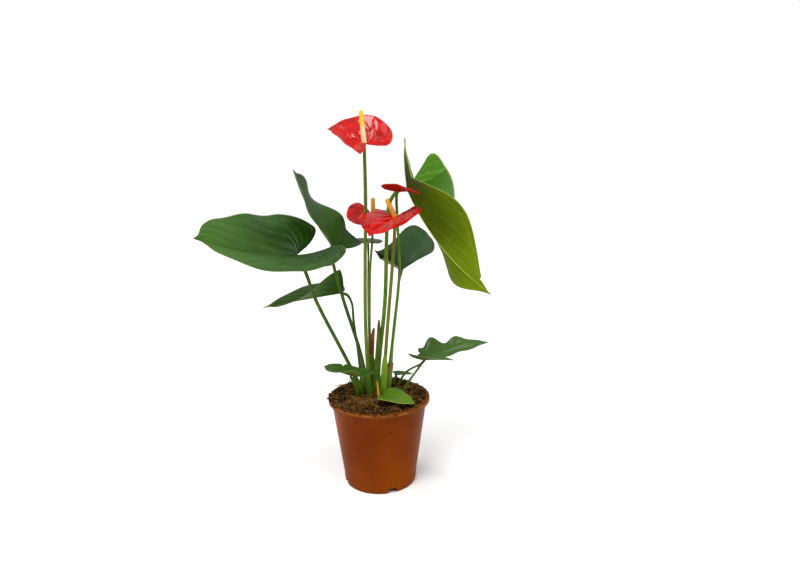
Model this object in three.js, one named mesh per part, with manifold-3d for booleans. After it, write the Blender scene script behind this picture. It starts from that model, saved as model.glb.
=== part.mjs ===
// Potted anthurium: a young plant with red spathes in a brown nursery pot.
// Millimetres, +Z up, origin at the centre of the pot's foot, on the surface it stands on.
// The front of the plant, from which its blooms are seen best, faces -Y.

import * as THREE from 'three';
import { mergeVertices } from 'three/addons/utils/BufferGeometryUtils.js';
import Module from 'manifold-3d';

// ---------------------------------------------------------------- driving dimensions

const GAP = 0.35; // clearance between neighbouring pieces
const CLEARANCE = 0.6; // clearance round a blade, where its stem is cut to fit
const STEM_STOP = 0.56; // how far under a blade its stem ends
const SLIVER = 0.03; // edges shorter than this are closed up after a cut

const POT = {
  height: 105,
  footRadius: 42, // outside, at the foot
  neckRadius: 57, // outside, just under the rim
  rimRadius: 60, // outside of the rolled rim
  rimHeight: 6,
  rimBead: 2, // how far the rim is rounded
  wall: 1.6,
  floor: 2,
  footBand: 7, // height of the thicker band at the foot
  bandStep: 0.4,
  edge: 0.7, // how far its edges are broken
  sides: 36,
};
const NOTCH = { count: 4, width: 10, height: 6, depth: 8, firstAzimuth: -72 };

const SOIL = {
  edgeHeight: 104, // where the soil meets the pot
  mound: 5, // how far its middle stands above that
  lump: 1.2, // size of the lumps
  fullness: 5, // how evenly the mound fills the pot's mouth: 2 is a dome, more is flatter
  slump: 0.9, // how far the mound has sunk at the front, as a part of its height at the rim
  sides: 36,
  rings: 5,
  ringSpacing: 1.5, // 1 sets the rings evenly, more sets them closer near the edge
};

const LUMPS = [[0.31, 0.12, 1.3, 1], [0.19, -0.37, 2, 0.7], [0.53, 0.41, 1.6, 0.5]]; // per mm, phase, share

const CROWN = {
  at: [3, 9], radius: 5, taper: 1.5, top: 112, depth: 20, sides: 9,
  roots: 4, firstAzimuth: 27, rootLength: 24, rootDrop: 20, rootRadius: 1.7,
};

const BLADE_THICKNESS = 0.8;
const SPATHE_THICKNESS = 0.9;
const CALM = { height: 0, waves: 1, phase: 0 };
const SMALL_LEAF = 50; // leaves shorter than this have the coarser net
const BIG_NET = { ribs: 16, cells: 4 }; // ribs from the midrib to the margin, and cells along a rib
const SMALL_NET = { ribs: 9, cells: 2 };
const SPATHE_NET = { ribs: 18, cells: 5 };
const FIRST_RIB = 0.06; // where along the outline the first rib ends
const ROOTS_FROM = 0.1; // part of the blade's length beside which all ribs start at the junction
const BLISTER = { height: 0.7, along: 9, across: 6, slant: 0.06 }; // raised net of a spathe: size and pitch
const FLORET = { height: 0.22, around: 8, pitch: 1.9 }; // the florets of a spadix, as relief
const SPADIX_END = 0.55; // radius of a spadix's blunt end, as a part of its own
const STEM_SIDES = 7;
const STEM_STRETCHES = 2; // straight stretches between two points of a stem's route
const STEM_TAPER = 1.2; // a stem above its flare, against its top
const STEM_FLARE = 65; // a stem is thicker over this length above the soil
const ROOTED = 103; // height at which the stems end in the soil

// ---------------------------------------------------------------- the plant's own shapes

// One half of a blade, from its midrib to its margin. width: from midrib to margin.
// lobe: how far it reaches back past the junction. fold: angle up from the blade's plane,
// at the base and at the tip. curl: how far the margin turns up (down if negative).
// rise: how far the lobe lifts. open: how far the lobe stands off the other one, 0 to 2.
const half = (width, lobe, fold, foldTip, curl, rise = 0, open = 0) => ({
  width, lobe, fold, foldTip, curl, rise, open,
});

// A blade starts at its junction with the stem and runs along its heading (degrees from +X
// towards +Y) at its pitch (degrees above level). bend, swing and twist are the changes of
// pitch, heading and roll from junction to tip. fullness sets how blunt the outline is.
// ruffle: waves of its margin, from junction to tip, with their height on the wider half and
// their phase (degrees).
const LEAVES = [
  {
    name: 'leaf_1', at: [-85, -34, 277], heading: 220, swing: 12, pitch: 4, bend: 18, roll: -26, twist: -6,
    length: 119, fullness: 0.7, ruffle: { height: 1.5, waves: 2.2, phase: 160 },
    left: half(53, 37, 30, 9, -24, 14, 0.2), right: half(60, 42, 31, 15, -24, -4, 1),
    stem: { base: [-17, -7], bends: [[-76, -38, 259], [-67, -33, 228], [-33, -12, 145]],
      radii: [3.8, 1.9] },
  },
  {
    name: 'leaf_2', at: [-51.5, 14, 282], heading: 192, swing: 29, pitch: 55, bend: 18, roll: -25, twist: -10,
    length: 95, fullness: 1.17, ruffle: { height: 8.5, waves: 1.3, phase: 9 },
    left: half(24, 5, 18, 7, 0, 0, 0.2), right: half(45, 23, 12, 9, 0, 13, 0.8),
    stem: { base: [-14.5, 2], bends: [[-50, 13, 260], [-39, 9, 217], [-20, 4, 150]], radii: [3.7, 1.9] },
  },
  {
    name: 'leaf_3', at: [-43, 36, 222], heading: 192, swing: 8, pitch: -6, bend: -1, roll: -3, twist: -18,
    length: 94, fullness: -0.3, left: half(33, 3, 70, 0, 0, 0), right: half(33, 6, 12, 15, 0, 0),
    stem: { base: [-19, 10], bends: [[-36, 35, 219], [-31, 32, 210], [-29, 27, 188], [-24, 19, 150]],
      radii: [2.9, 1.4] },
  },
  {
    name: 'leaf_4', at: [30, 39, 247.6], heading: 116, swing: 31, pitch: 8, bend: 29, roll: -23, twist: -26,
    length: 55, fullness: -0.6, ruffle: { height: 7.3, waves: 0.9, phase: -81 },
    left: half(27, 16, 54, 50, 16, 1), right: half(60, 26, 29, 42, 19, -6, 1.4),
    stem: { base: [12, 5], bends: [[27, 38, 237], [24, 31, 214], [18, 21, 170]], radii: [2.9, 1.6] },
  },
  {
    name: 'leaf_5', at: [37.5, 35, 345], heading: -26.5, swing: -20, pitch: -66, bend: 40,
    roll: -8, twist: -134,
    length: 164, fullness: -0.2, left: half(54.4, 26, 60, -6, 60, 1, 1.55),
    right: half(59.7, 46.5, 44, 51, -42, 8, 0.7),
    stem: { base: [-4, -3], bends: [[27, 32, 343], [17, 23, 331], [13, 14, 306], [9, 6, 219], [1, 1, 149]],
      radii: [4.2, 2.1] },
  },
  {
    name: 'leaf_6', at: [-10, 58, 281], heading: 92, swing: 0, pitch: 4, bend: -6, roll: 3, twist: 0,
    length: 46, fullness: 0.2, left: half(18, 13, 6, 4, -5, 0), right: half(18, 13, 6, 4, -5, 0),
    stem: { base: [-10, 19], bends: [[-10, 56, 268], [-11, 46, 226], [-11, 29, 160]], radii: [2.2, 1.1] },
  },
  {
    name: 'low_leaf_left', at: [-32, -35, 141.5], heading: 186, swing: -16, pitch: 22, bend: -1,
    roll: -9, twist: -6,
    length: 31, fullness: 0.6, left: half(17, 8, 50, 2, -3, 0), right: half(15, 25, 30, 7, -16, 7),
    stem: { base: [-23, -17], bends: [[-27, -29, 129]], radii: [2, 1.1] },
  },
  {
    name: 'low_leaf_front', at: [6, -28, 115], heading: -27, swing: 0, pitch: 0, bend: -14,
    roll: 11, twist: 0,
    length: 38, fullness: 0.5, left: half(12, 3, 16, 15, -10, 0), right: half(16, 3, 20, 9, -10, 0),
    stem: { base: [6, -24], bends: [], radii: [1.8, 1.2] },
  },
  {
    name: 'low_leaf_right', at: [57.5, 11, 147], heading: 0, swing: 0, pitch: 13, bend: -1,
    roll: -4, twist: 19,
    length: 77, fullness: 0, left: half(24, 8, 31, 26, -10, 2, 0.3), right: half(14, 4, 6, -1, -10, 0),
    ruffle: { height: 6, waves: 2.5, phase: 326 },
    stem: { base: [18, 8], bends: [[53, 10, 140], [33, 9, 129]], radii: [1.6, 1.1] },
  },
  {
    name: 'low_leaf_curled', at: [53, -8, 149], heading: -6, swing: 0, pitch: 2, bend: -4,
    roll: -11, twist: 0,
    length: 36, fullness: 0, left: half(11, 8, 55, 20, -20, 0), right: half(15, 18, 34, 5, -22, 5),
    stem: { base: [24, -7], bends: [[45, -8, 137], [35, -8, 123]], radii: [1.6, 1.1] },
  },
  {
    name: 'short_leaf_back', at: [22, 27, 121], heading: 8, swing: 0, pitch: 2, bend: -15,
    roll: 0, twist: 0,
    length: 22, fullness: 0.2, left: half(8, 4, 15, 8, -15, 0), right: half(8, 4, 15, 8, -15, 0),
    stem: { base: [16, 20], bends: [], radii: [1.6, 1] },
  },
  {
    name: 'short_leaf_front', at: [14, -14, 115], heading: -14, swing: 0, pitch: 5, bend: -27,
    roll: 0, twist: 0,
    length: 18, fullness: 0.2, left: half(7, 4, 15, 8, -15, 0), right: half(7, 4, 15, 8, -15, 0),
    stem: { base: [12.5, -13.5], bends: [], radii: [1.6, 1] },
  },
];

const BLOOMS = [
  {
    name: 'bloom_top', at: [-11, -4, 394], heading: 182, swing: 11, pitch: 22, bend: -1,
    roll: -39, twist: 7,
    length: 42, fullness: 0.3, left: half(34, 3, 20, 15, -7, 0), right: half(36, 27, 29, 9, -4, 1),
    stem: { base: [-11, -13], bends: [[-11, -3, 334], [-13, -5, 262], [-14, -7, 187]], radii: [3.2, 1.8] },
    spadix: { radii: [2.9, 2.1], lean: [-3, 0, 35] },
  },
  {
    name: 'bloom_middle', at: [21, -20, 315], heading: 235, swing: 5, pitch: -11, bend: -12,
    roll: -4, twist: -8,
    length: 55, fullness: 0.4, left: half(32, 19, 18, 10, -6, 4), right: half(34, 19, 8, 16, -8, -5),
    stem: { base: [4, -13], bends: [[20, -19, 295], [17, -17, 257], [10, -12, 179]], radii: [3.6, 1.8] },
    spadix: { radii: [2.7, 2.2], lean: [-9, -2, 20] },
  },
  {
    name: 'bloom_side', at: [24, -20, 343], heading: -21, swing: -9, pitch: 4, bend: -20,
    roll: -14, twist: 5,
    length: 26, fullness: 0.5, left: half(20, 16, 18, 10, -8, 4), right: half(20, 15, 14, 6, -11, 2),
    stem: { base: [8, -3], bends: [[23, -17, 338], [24, 4, 318], [26, 6, 252], [21, 3, 202]],
      radii: [3.2, 1.6] },
    spadix: { radii: [1.9, 1.5], lean: [2, 11, 5] },
  },
  {
    name: 'bloom_back', at: [-3, 48, 314], heading: -64, swing: 4, pitch: -27, bend: 9, roll: -5, twist: 4,
    length: 32, fullness: 0.5, left: half(32, 21, 10, 5, -16, -4), right: half(34, 21, 4, 2, -25, 5),
    stem: { base: [-8, 11], bends: [[-5, 42, 282], [-8, 37, 250], [-10, 15, 145]], radii: [2.4, 1.4] },
    spadix: { radii: [2.7, 2.2], lean: [0, -3, 21] },
  },
];

// A sheath wraps part of a stem. foot, tip: heights; facing: azimuth of its middle;
// spread: half its width as an angle round the stem; loose: how far its tip stands off the stem;
// point: width of its tip, as a part of its foot's.
const SHEATHS = [
  { name: 'sheath_rust', around: 'bloom_back', foot: 105, tip: 182,
    facing: -35, spread: 85, loose: 4.2, point: 0.17, color: '#a4561c' },
  { name: 'sheath_olive', around: 'leaf_5', foot: 105, tip: 196,
    facing: -145, spread: 62, loose: 3.6, point: 0.17, color: '#5f7a1c' },
  { name: 'sheath_green', around: 'bloom_top', foot: 104, tip: 130,
    facing: -80, spread: 80, loose: 1, point: 0.17, color: '#4c7a1a' },
  { name: 'sheath_straw', around: 'bloom_side', foot: 104, tip: 143,
    facing: -90, spread: 85, loose: 2, point: 0.7, color: '#8f9a2c' },
];
const SHEATH_THICKNESS = 0.8;
const SHEATH_NET = { rows: 7, columns: 3 };
const BUD = { // a young sheath, still closed
  base: [0, -21], top: [-2, -22, 130], radius: 2.1, point: 0.17, rings: 6, color: '#c08a3a',
};

const MATERIALS = {
  pot: { color: '#7a3d14', roughness: 0.38, metalness: 0 },
  soil: { color: '#35261a', roughness: 0.95, metalness: 0 },
  root: { color: '#b79a6a', roughness: 0.8, metalness: 0 },
  leaf: { color: '#2f5d1c', roughness: 0.35, metalness: 0 },
  stem: { color: '#5f7f1e', roughness: 0.5, metalness: 0 },
  spathe: { color: '#cf1b1b', roughness: 0.18, metalness: 0 },
  spadix: { color: '#eebc1c', roughness: 0.6, metalness: 0 },
};

// ---------------------------------------------------------------- solids

const manifold = await Module();
manifold.setup();
const radians = THREE.MathUtils.degToRad;
const { lerp, clamp } = THREE.MathUtils;

/** A closed geometry as a solid that can be joined and cut. */
function solidOf(geometry) {
  const bare = new THREE.BufferGeometry();
  bare.setAttribute('position', geometry.getAttribute('position').clone());
  bare.setIndex(geometry.getIndex());
  const merged = mergeVertices(bare, 1e-4);
  const mesh = new manifold.Mesh({
    numProp: 3,
    vertProperties: merged.getAttribute('position').array,
    triVerts: new Uint32Array(merged.getIndex().array),
  });
  return new manifold.Manifold(mesh);
}

/** The largest body of a solid, without the loose scraps and slivers that a cut leaves. */
function largestBody(solid) {
  return solid.decompose().reduce((best, body) => (body.volume() > best.volume() ? body : best))
    .asOriginal().simplify(SLIVER);
}

/** A solid as a geometry that a mesh can hold. */
function geometryOf(solid) {
  const mesh = solid.getMesh();
  const geometry = new THREE.BufferGeometry();
  geometry.setAttribute('position', new THREE.BufferAttribute(new Float32Array(mesh.vertProperties), 3));
  geometry.setIndex(new THREE.BufferAttribute(new Uint32Array(mesh.triVerts), 1));
  geometry.computeVertexNormals();
  return geometry;
}

/** A geometry from a list of points and a list of triangles. */
function geometryFrom(points, triangles) {
  const geometry = new THREE.BufferGeometry().setFromPoints(points);
  geometry.setIndex(triangles.flat());
  return geometry;
}

/** A curve whose frames keep to its own points, so that tight bends get short steps. */
class RouteCurve extends THREE.CatmullRomCurve3 {
  getTangentAt(part, target) {
    return this.getTangent(part, target);
  }
}

/** A round rod along a route, with a number of straight stretches between its points. */
function rod(route, radiusAt, sides = STEM_SIDES, stretches = STEM_STRETCHES) {
  const curve = new RouteCurve(route, false, 'centripetal');
  const length = curve.getLength();
  const steps = (route.length - 1) * stretches;
  const frames = curve.computeFrenetFrames(steps, false);
  const points = [];
  const triangles = [];
  let travelled = 0;
  for (let i = 0; i <= steps; i += 1) {
    const centre = curve.getPoint(i / steps);
    if (i > 0) travelled += centre.distanceTo(curve.getPoint((i - 1) / steps));
    for (let k = 0; k < sides; k += 1) {
      const angle = (2 * Math.PI * k) / sides;
      const radius = radiusAt(i === steps ? 1 : Math.min(1, travelled / length), length, i + k);
      points.push(centre.clone()
        .addScaledVector(frames.normals[i], radius * Math.cos(angle))
        .addScaledVector(frames.binormals[i], radius * Math.sin(angle)));
    }
  }
  for (let i = 0; i < steps; i += 1) {
    for (let k = 0; k < sides; k += 1) {
      const a = i * sides + k;
      const b = i * sides + ((k + 1) % sides);
      triangles.push([a, b, b + sides], [a, b + sides, a + sides]);
    }
  }
  const last = steps * sides;
  for (let k = 1; k < sides - 1; k += 1) {
    triangles.push([0, k + 1, k], [last, last + k, last + k + 1]);
  }
  return geometryFrom(points, triangles);
}

// ---------------------------------------------------------------- blades

/**
 * Points of a heart-shaped outline's half, as fractions of its length, lobe and width.
 * The lobe's inner edge is closed at open 0, spread at 1 and gaping at 2.
 */
function outlineOf(fullness, open) {
  const slender = [[0.42, 0.84], [0.66, 0.56], [0.84, 0.27], [0.93, 0.09]];
  const blunt = [[0.42, 0.95], [0.68, 0.78], [0.87, 0.46], [0.945, 0.16]];
  const closed = [[-0.55, 0.1], [-0.9, 0.24], [-1, 0.46], [-0.82, 0.76]];
  const spread = [[-0.5, 0.24], [-0.86, 0.5], [-1, 0.72], [-0.8, 0.88]];
  const gaping = [[-0.08, 0.4], [-0.55, 0.58], [-1, 0.72], [-0.86, 0.9]];
  const between = (from, to, part) => (
    from.map(([x, y], i) => [lerp(x, to[i][0], part), lerp(y, to[i][1], part)]));
  const lobe = open > 1 ? between(spread, gaping, open - 1) : between(closed, spread, open);
  const flat = [[0, 0], ...lobe, [-0.25, 0.97], [0.14, 1], ...between(slender, blunt, fullness), [1, 0]];
  return flat.map(([x, y]) => new THREE.Vector3(x, y, 0));
}

/** The frame of a blade's midrib at a distance from the junction: along, across and up. */
function midribFrame(blade, distance) {
  const part = clamp(distance / blade.length, 0, 1);
  const heading = radians(blade.heading + blade.swing * part);
  const pitch = radians(blade.pitch + blade.bend * part);
  const roll = radians(blade.roll + blade.twist * part);
  const along = new THREE.Vector3(
    Math.cos(pitch) * Math.cos(heading), Math.cos(pitch) * Math.sin(heading), Math.sin(pitch));
  const level = new THREE.Vector3(Math.sin(heading), -Math.cos(heading), 0);
  const raised = level.clone().cross(along);
  const across = level.clone().multiplyScalar(Math.cos(roll)).addScaledVector(raised, -Math.sin(roll));
  const up = level.clone().multiplyScalar(Math.sin(roll)).addScaledVector(raised, Math.cos(roll));
  return { along, across, up };
}

/** The points of the midrib, followed from the junction in short steps. */
function midribPoint(blade, distance) {
  const steps = 24;
  const point = new THREE.Vector3(...blade.at);
  for (let i = 0; i < steps; i += 1) {
    point.addScaledVector(midribFrame(blade, (distance * (i + 0.5)) / steps).along, distance / steps);
  }
  return point;
}

/** The place in space of a flat point x along and y across a blade, on side -1 (left) or 1. */
function placeOnBlade(blade, x, y, side) {
  const own = side < 0 ? blade.left : blade.right;
  const part = clamp(x / blade.length, 0, 1);
  const fold = radians(lerp(own.fold, own.foldTip, part));
  const curl = radians(own.curl * lerp(1, 0.9, part)) || 1e-3;
  const turn = curl * (y / own.width);
  const out = (own.width / curl) * (Math.sin(fold + turn) - Math.sin(fold));
  const rise = (-own.width / curl) * (Math.cos(fold + turn) - Math.cos(fold));
  const back = Math.max(0, -x / own.lobe);
  const { height, waves, phase } = blade.ruffle ?? CALM;
  const outward = y / Math.max(blade.left.width, blade.right.width);
  const wave = height * outward ** 2 * Math.sin(2 * Math.PI * waves * part + radians(phase));
  const { across, up } = midribFrame(blade, x);
  return midribPoint(blade, x)
    .addScaledVector(across, side * out)
    .addScaledVector(up, rise + own.rise * back * back + wave);
}

/** The middle surface of a blade: its points, triangles and the loop of points at its edge. */
function bladeSurface(blade, { ribs, cells }, relief) {
  const points = [];
  const triangles = [];
  const add = (x, y, side) => {
    const own = side < 0 ? blade.left : blade.right;
    const point = placeOnBlade(blade, x, y, side);
    if (relief) point.addScaledVector(midribFrame(blade, x).up, relief(x, y, own.width));
    return points.push(point) - 1;
  };
  const junction = add(0, 0, 1);
  const tip = add(blade.length, 0, 1);
  const roots = []; // one point on the midrib for each rib, shared by both halves
  const edge = { left: [], right: [] };
  for (const side of [-1, 1]) {
    const own = side < 0 ? blade.left : blade.right;
    const outline = outlineOf(blade.fullness, own.open);
    const curve = new THREE.CatmullRomCurve3(outline, false, 'catmullrom', 0.5);
    const rows = [];
    for (let i = 1; i <= ribs; i += 1) {
      const flat = curve.getPoint(lerp(FIRST_RIB, 1, i / ribs));
      const x = flat.x * (flat.x < 0 ? own.lobe : blade.length);
      const y = Math.max(flat.y, 0) * own.width;
      const root = blade.length * Math.max(0, (flat.x - ROOTS_FROM) / (1 - ROOTS_FROM));
      if (i === ribs) {
        rows.push(new Array(cells + 1).fill(tip));
        continue;
      }
      if (roots[i] === undefined) roots[i] = root > blade.length / 50 ? add(root, 0, 1) : junction;
      const from = roots[i] === junction ? 0 : root;
      const row = [roots[i]];
      for (let j = 1; j <= cells; j += 1) row.push(add(lerp(from, x, j / cells), (y * j) / cells, side));
      rows.push(row);
    }
    const margin = rows.slice(0, -1).map((row) => row[cells]);
    edge[side < 0 ? 'left' : 'right'] = [...rows[0].slice(1, -1), ...margin];
    for (let i = 0; i < ribs - 1; i += 1) {
      for (let j = 0; j < cells; j += 1) {
        const [a, b, c, d] = [rows[i][j], rows[i][j + 1], rows[i + 1][j + 1], rows[i + 1][j]];
        for (const corners of [[a, b, c], [a, c, d]]) {
          if (new Set(corners).size === 3) triangles.push(side > 0 ? corners : corners.reverse());
        }
      }
    }
  }
  const loop = [junction, ...edge.right, tip, ...edge.left.reverse()];
  return { points, triangles, edge: loop, junction, frame: midribFrame(blade, 0) };
}

/** A blade of even thickness round its middle surface; grow also widens it at its edge. */
function bladeGeometry(surface, thickness, grow = 0) {
  const flat = geometryFrom(surface.points, surface.triangles);
  flat.computeVertexNormals();
  const normals = flat.getAttribute('normal');
  normals.setXYZ(surface.junction, ...surface.frame.up);
  const middle = surface.points.map((point) => point.clone());
  const count = surface.edge.length;
  surface.edge.forEach((index, i) => {
    const before = surface.points[surface.edge[(i + count - 1) % count]];
    const after = surface.points[surface.edge[(i + 1) % count]];
    const normal = new THREE.Vector3().fromBufferAttribute(normals, index);
    middle[index].addScaledVector(after.clone().sub(before).normalize().cross(normal), grow);
  });
  const shifted = (side) => middle.map((point, i) => point.clone()
    .addScaledVector(new THREE.Vector3().fromBufferAttribute(normals, i), (side * thickness) / 2));
  const offset = middle.length;
  const walls = surface.edge.flatMap((a, i) => {
    const b = surface.edge[(i + 1) % count];
    return [[a, a + offset, b + offset], [a, b + offset, b]];
  });
  const under = surface.triangles.map(([a, b, c]) => [a + offset, c + offset, b + offset]);
  return geometryFrom([...shifted(1), ...shifted(-1)], [...surface.triangles, ...under, ...walls]);
}

/** A blade with clearance all round, to cut what meets it. */
function clearanceRound(surface, thickness) {
  let swollen = solidOf(bladeGeometry(surface, thickness + 4 * GAP, 2 * GAP));
  for (const reach of [-CLEARANCE, CLEARANCE]) {
    const way = surface.frame.up.clone().multiplyScalar(reach);
    swollen = swollen.add(solidOf(bladeGeometry(surface, thickness).translate(...way)));
  }
  return swollen;
}

/** The raised net of a spathe: rounded blisters between its veins, flat at the margin. */
function blisters(x, y, width) {
  const calm = 1 - (y / width) ** 4;
  const net = Math.sin(2 * Math.PI * (x / BLISTER.along + y * BLISTER.slant / BLISTER.across))
    * Math.sin((2 * Math.PI * y) / BLISTER.across);
  return BLISTER.height * calm * net;
}

/** The point just under a blade, or just over it, where a stem or a spadix meets it. */
function besideBlade(blade, thickness, side) {
  const { up } = midribFrame(blade, 0);
  return new THREE.Vector3(...blade.at).addScaledVector(up, side * (thickness / 2 + STEM_STOP));
}

/** The radius of a stem: slender above, thicker towards its base. */
function stemRadius([base, top]) {
  return (part, length) => {
    const flare = Math.max(0, 1 - (part * length) / STEM_FLARE);
    const slender = top * lerp(STEM_TAPER, 1, part);
    return slender + (base - slender) * flare * flare;
  };
}

/** A radius widened so that its flats, too, keep the gap. */
const widened = (radiusAt, sides) => (...args) => (radiusAt(...args) + GAP) / Math.cos(Math.PI / sides);

/** The route of a blade's stem, from inside the soil up to its junction. */
function stemRoute(blade, thickness, deeper = 0) {
  const [x, y] = blade.stem.base;
  const bends = [...blade.stem.bends].reverse().map((point) => new THREE.Vector3(...point));
  return [new THREE.Vector3(x, y, ROOTED - deeper), ...bends, besideBlade(blade, thickness, -1)];
}

/** A leaf or a spathe, with all that meets it. */
function buildBladed(blade, thickness, net, relief) {
  const surface = bladeSurface(blade, net, relief);
  const body = solidOf(bladeGeometry(surface, thickness));
  const cutter = clearanceRound(surface, thickness);
  const route = stemRoute(blade, thickness);
  const radiusAt = stemRadius(blade.stem.radii);
  const stem = largestBody(solidOf(rod(route, radiusAt)).subtract(cutter));
  const hole = solidOf(rod(stemRoute(blade, thickness, GAP), widened(radiusAt, STEM_SIDES)));
  return { body, cutter, stem, hole };
}

/** A spadix: a rod covered with small florets, standing on its spathe. */
function spadix(bloom, cutter) {
  const start = besideBlade(bloom, SPATHE_THICKNESS, 1);
  const end = start.clone().add(new THREE.Vector3(...bloom.spadix.lean));
  const [foot, top] = bloom.spadix.radii;
  const radiusAt = (part, length, count) => {
    const roundEnd = part === 1 ? SPADIX_END : 1;
    return lerp(foot, top, part) * roundEnd + FLORET.height * (count % 2 ? 1 : -0.5);
  };
  const rows = Math.round(start.distanceTo(end) / FLORET.pitch);
  const body = solidOf(rod([start, end], radiusAt, FLORET.around, rows));
  return largestBody(body.subtract(cutter));
}

/** A sheath: a pointed blade bent round a stem; thickness and grow as for a blade. */
function sheath(spec, blade, thickness, grow = 0) {
  const curve = new THREE.CatmullRomCurve3(stemRoute(blade, 0), false, 'centripetal');
  const centreAt = (height) => {
    let [low, high] = [0, 1];
    for (let i = 0; i < 20; i += 1) {
      const middle = (low + high) / 2;
      if (curve.getPoint(middle).z < height) low = middle;
      else high = middle;
    }
    return curve.getPoint(low);
  };
  const length = curve.getLength();
  const stemAt = stemRadius(blade.stem.radii);
  const { rows, columns } = SHEATH_NET;
  const points = [];
  for (const side of [1, -1]) {
    for (let i = 0; i <= rows; i += 1) {
      const part = i / rows;
      const height = lerp(spec.foot - grow, spec.tip + grow, part);
      const centre = centreAt(height);
      const snug = stemAt((height - ROOTED) / length, length) + 2 * GAP + SHEATH_THICKNESS / 2;
      const narrowing = Math.sqrt(1 - (1 - spec.point ** 2) * part * part);
      const spread = radians(spec.spread) * narrowing + grow / snug;
      for (let j = 0; j <= columns; j += 1) {
        const angle = radians(spec.facing) + spread * ((2 * j) / columns - 1);
        const radius = snug + spec.loose * part + (side * thickness) / 2;
        points.push(new THREE.Vector3(radius * Math.cos(angle), radius * Math.sin(angle), 0).add(centre));
      }
    }
  }
  const at = (i, j) => i * (columns + 1) + j;
  const triangles = [];
  for (let i = 0; i < rows; i += 1) {
    for (let j = 0; j < columns; j += 1) {
      const [a, b, c, d] = [at(i, j), at(i, j + 1), at(i + 1, j + 1), at(i + 1, j)];
      triangles.push([a, b, c], [a, c, d]);
    }
  }
  const up = Array.from({ length: rows + 1 }, (_, i) => i);
  const over = Array.from({ length: columns + 1 }, (_, j) => j);
  const edge = [
    ...over.map((j) => at(0, j)), ...up.slice(1).map((i) => at(i, columns)),
    ...over.slice(0, -1).reverse().map((j) => at(rows, j)),
    ...up.slice(1, -1).reverse().map((i) => at(i, 0)),
  ];
  const offset = points.length / 2;
  const walls = edge.flatMap((a, i) => {
    const b = edge[(i + 1) % edge.length];
    return [[a, a + offset, b + offset], [a, b + offset, b]];
  });
  const inner = triangles.map(([a, b, c]) => [a + offset, c + offset, b + offset]);
  return solidOf(geometryFrom(points, [...triangles, ...inner, ...walls]));
}

// ---------------------------------------------------------------- pot, soil and crown

const innerRadius = (z) => lerp(POT.footRadius, POT.neckRadius, z / POT.height) - POT.wall;

/** The pot: a turned shell with a rolled rim and open notches at its foot. */
function pot() {
  const { height, rimRadius, rimHeight, rimBead, footBand, bandStep, edge } = POT;
  const wallRadius = (z) => innerRadius(z) + POT.wall;
  const lip = height - rimHeight;
  const profile = [
    [0, 0], [POT.footRadius - edge, 0], [POT.footRadius + bandStep, edge],
    [wallRadius(footBand) + bandStep, footBand], [wallRadius(footBand), footBand + bandStep],
    [wallRadius(lip), lip], [rimRadius - edge, lip], [rimRadius, lip + edge],
    [rimRadius, height - rimBead], [rimRadius - edge / 2, height - edge], [rimRadius - rimBead, height],
    [innerRadius(height) + edge, height], [innerRadius(height), height - edge],
    [innerRadius(POT.floor), POT.floor], [0, POT.floor],
  ];
  let body = solidOf(new THREE.LatheGeometry(profile.map(([r, z]) => new THREE.Vector2(r, z)), POT.sides)
    .rotateX(Math.PI / 2));
  for (let i = 0; i < NOTCH.count; i += 1) {
    const cut = new THREE.BoxGeometry(NOTCH.depth * 2, NOTCH.width, NOTCH.height * 2)
      .translate(POT.footRadius, 0, 0)
      .rotateZ(radians(NOTCH.firstAzimuth + (i * 360) / NOTCH.count));
    body = body.subtract(solidOf(cut));
  }
  return body;
}

/** Height of the soil's surface: a mound with lumps, lower at the front. */
function soilHeight(radius, azimuth) {
  const part = radius / innerRadius(POT.height);
  const x = radius * Math.cos(azimuth);
  const y = radius * Math.sin(azimuth);
  const lumps = LUMPS.reduce((sum, [alongX, alongY, phase, share]) => (
    sum + share * Math.sin(alongX * x + alongY * y + phase)), 0);
  const standing = 1 - SOIL.slump * part * Math.max(0, -Math.sin(azimuth));
  return SOIL.edgeHeight + SOIL.mound * (1 - part ** SOIL.fullness) * standing + SOIL.lump * lumps;
}

/** The soil: fills the pot and stands above its rim in the middle. */
function soil() {
  const floor = POT.floor + GAP;
  const points = [new THREE.Vector3(0, 0, floor)];
  const ring = (radius, height) => {
    for (let k = 0; k < SOIL.sides; k += 1) {
      const azimuth = (2 * Math.PI * k) / SOIL.sides;
      const [x, y] = [radius * Math.cos(azimuth), radius * Math.sin(azimuth)];
      points.push(new THREE.Vector3(x, y, height(azimuth)));
    }
  };
  const fit = Math.cos(Math.PI / POT.sides); // the pot's wall is flat between its corners
  const edge = (innerRadius(SOIL.edgeHeight) - GAP) * fit;
  ring((innerRadius(floor) - GAP) * fit, () => floor);
  for (let i = 0; i < SOIL.rings; i += 1) {
    const radius = edge * (1 - (i / SOIL.rings) ** SOIL.ringSpacing);
    ring(radius, (azimuth) => (i === 0 ? SOIL.edgeHeight : soilHeight(radius, azimuth)));
  }
  points.push(new THREE.Vector3(0, 0, soilHeight(0, 0)));
  const triangles = [];
  const top = points.length - 1;
  for (let k = 0; k < SOIL.sides; k += 1) {
    const next = (k + 1) % SOIL.sides;
    triangles.push([0, 1 + next, 1 + k]);
    for (let i = 0; i < SOIL.rings; i += 1) {
      const [a, b] = [1 + i * SOIL.sides + k, 1 + i * SOIL.sides + next];
      triangles.push([a, b, b + SOIL.sides], [a, b + SOIL.sides, a + SOIL.sides]);
    }
    const inner = 1 + SOIL.rings * SOIL.sides;
    triangles.push([inner + k, inner + next, top]);
  }
  return solidOf(geometryFrom(points, triangles));
}

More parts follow.
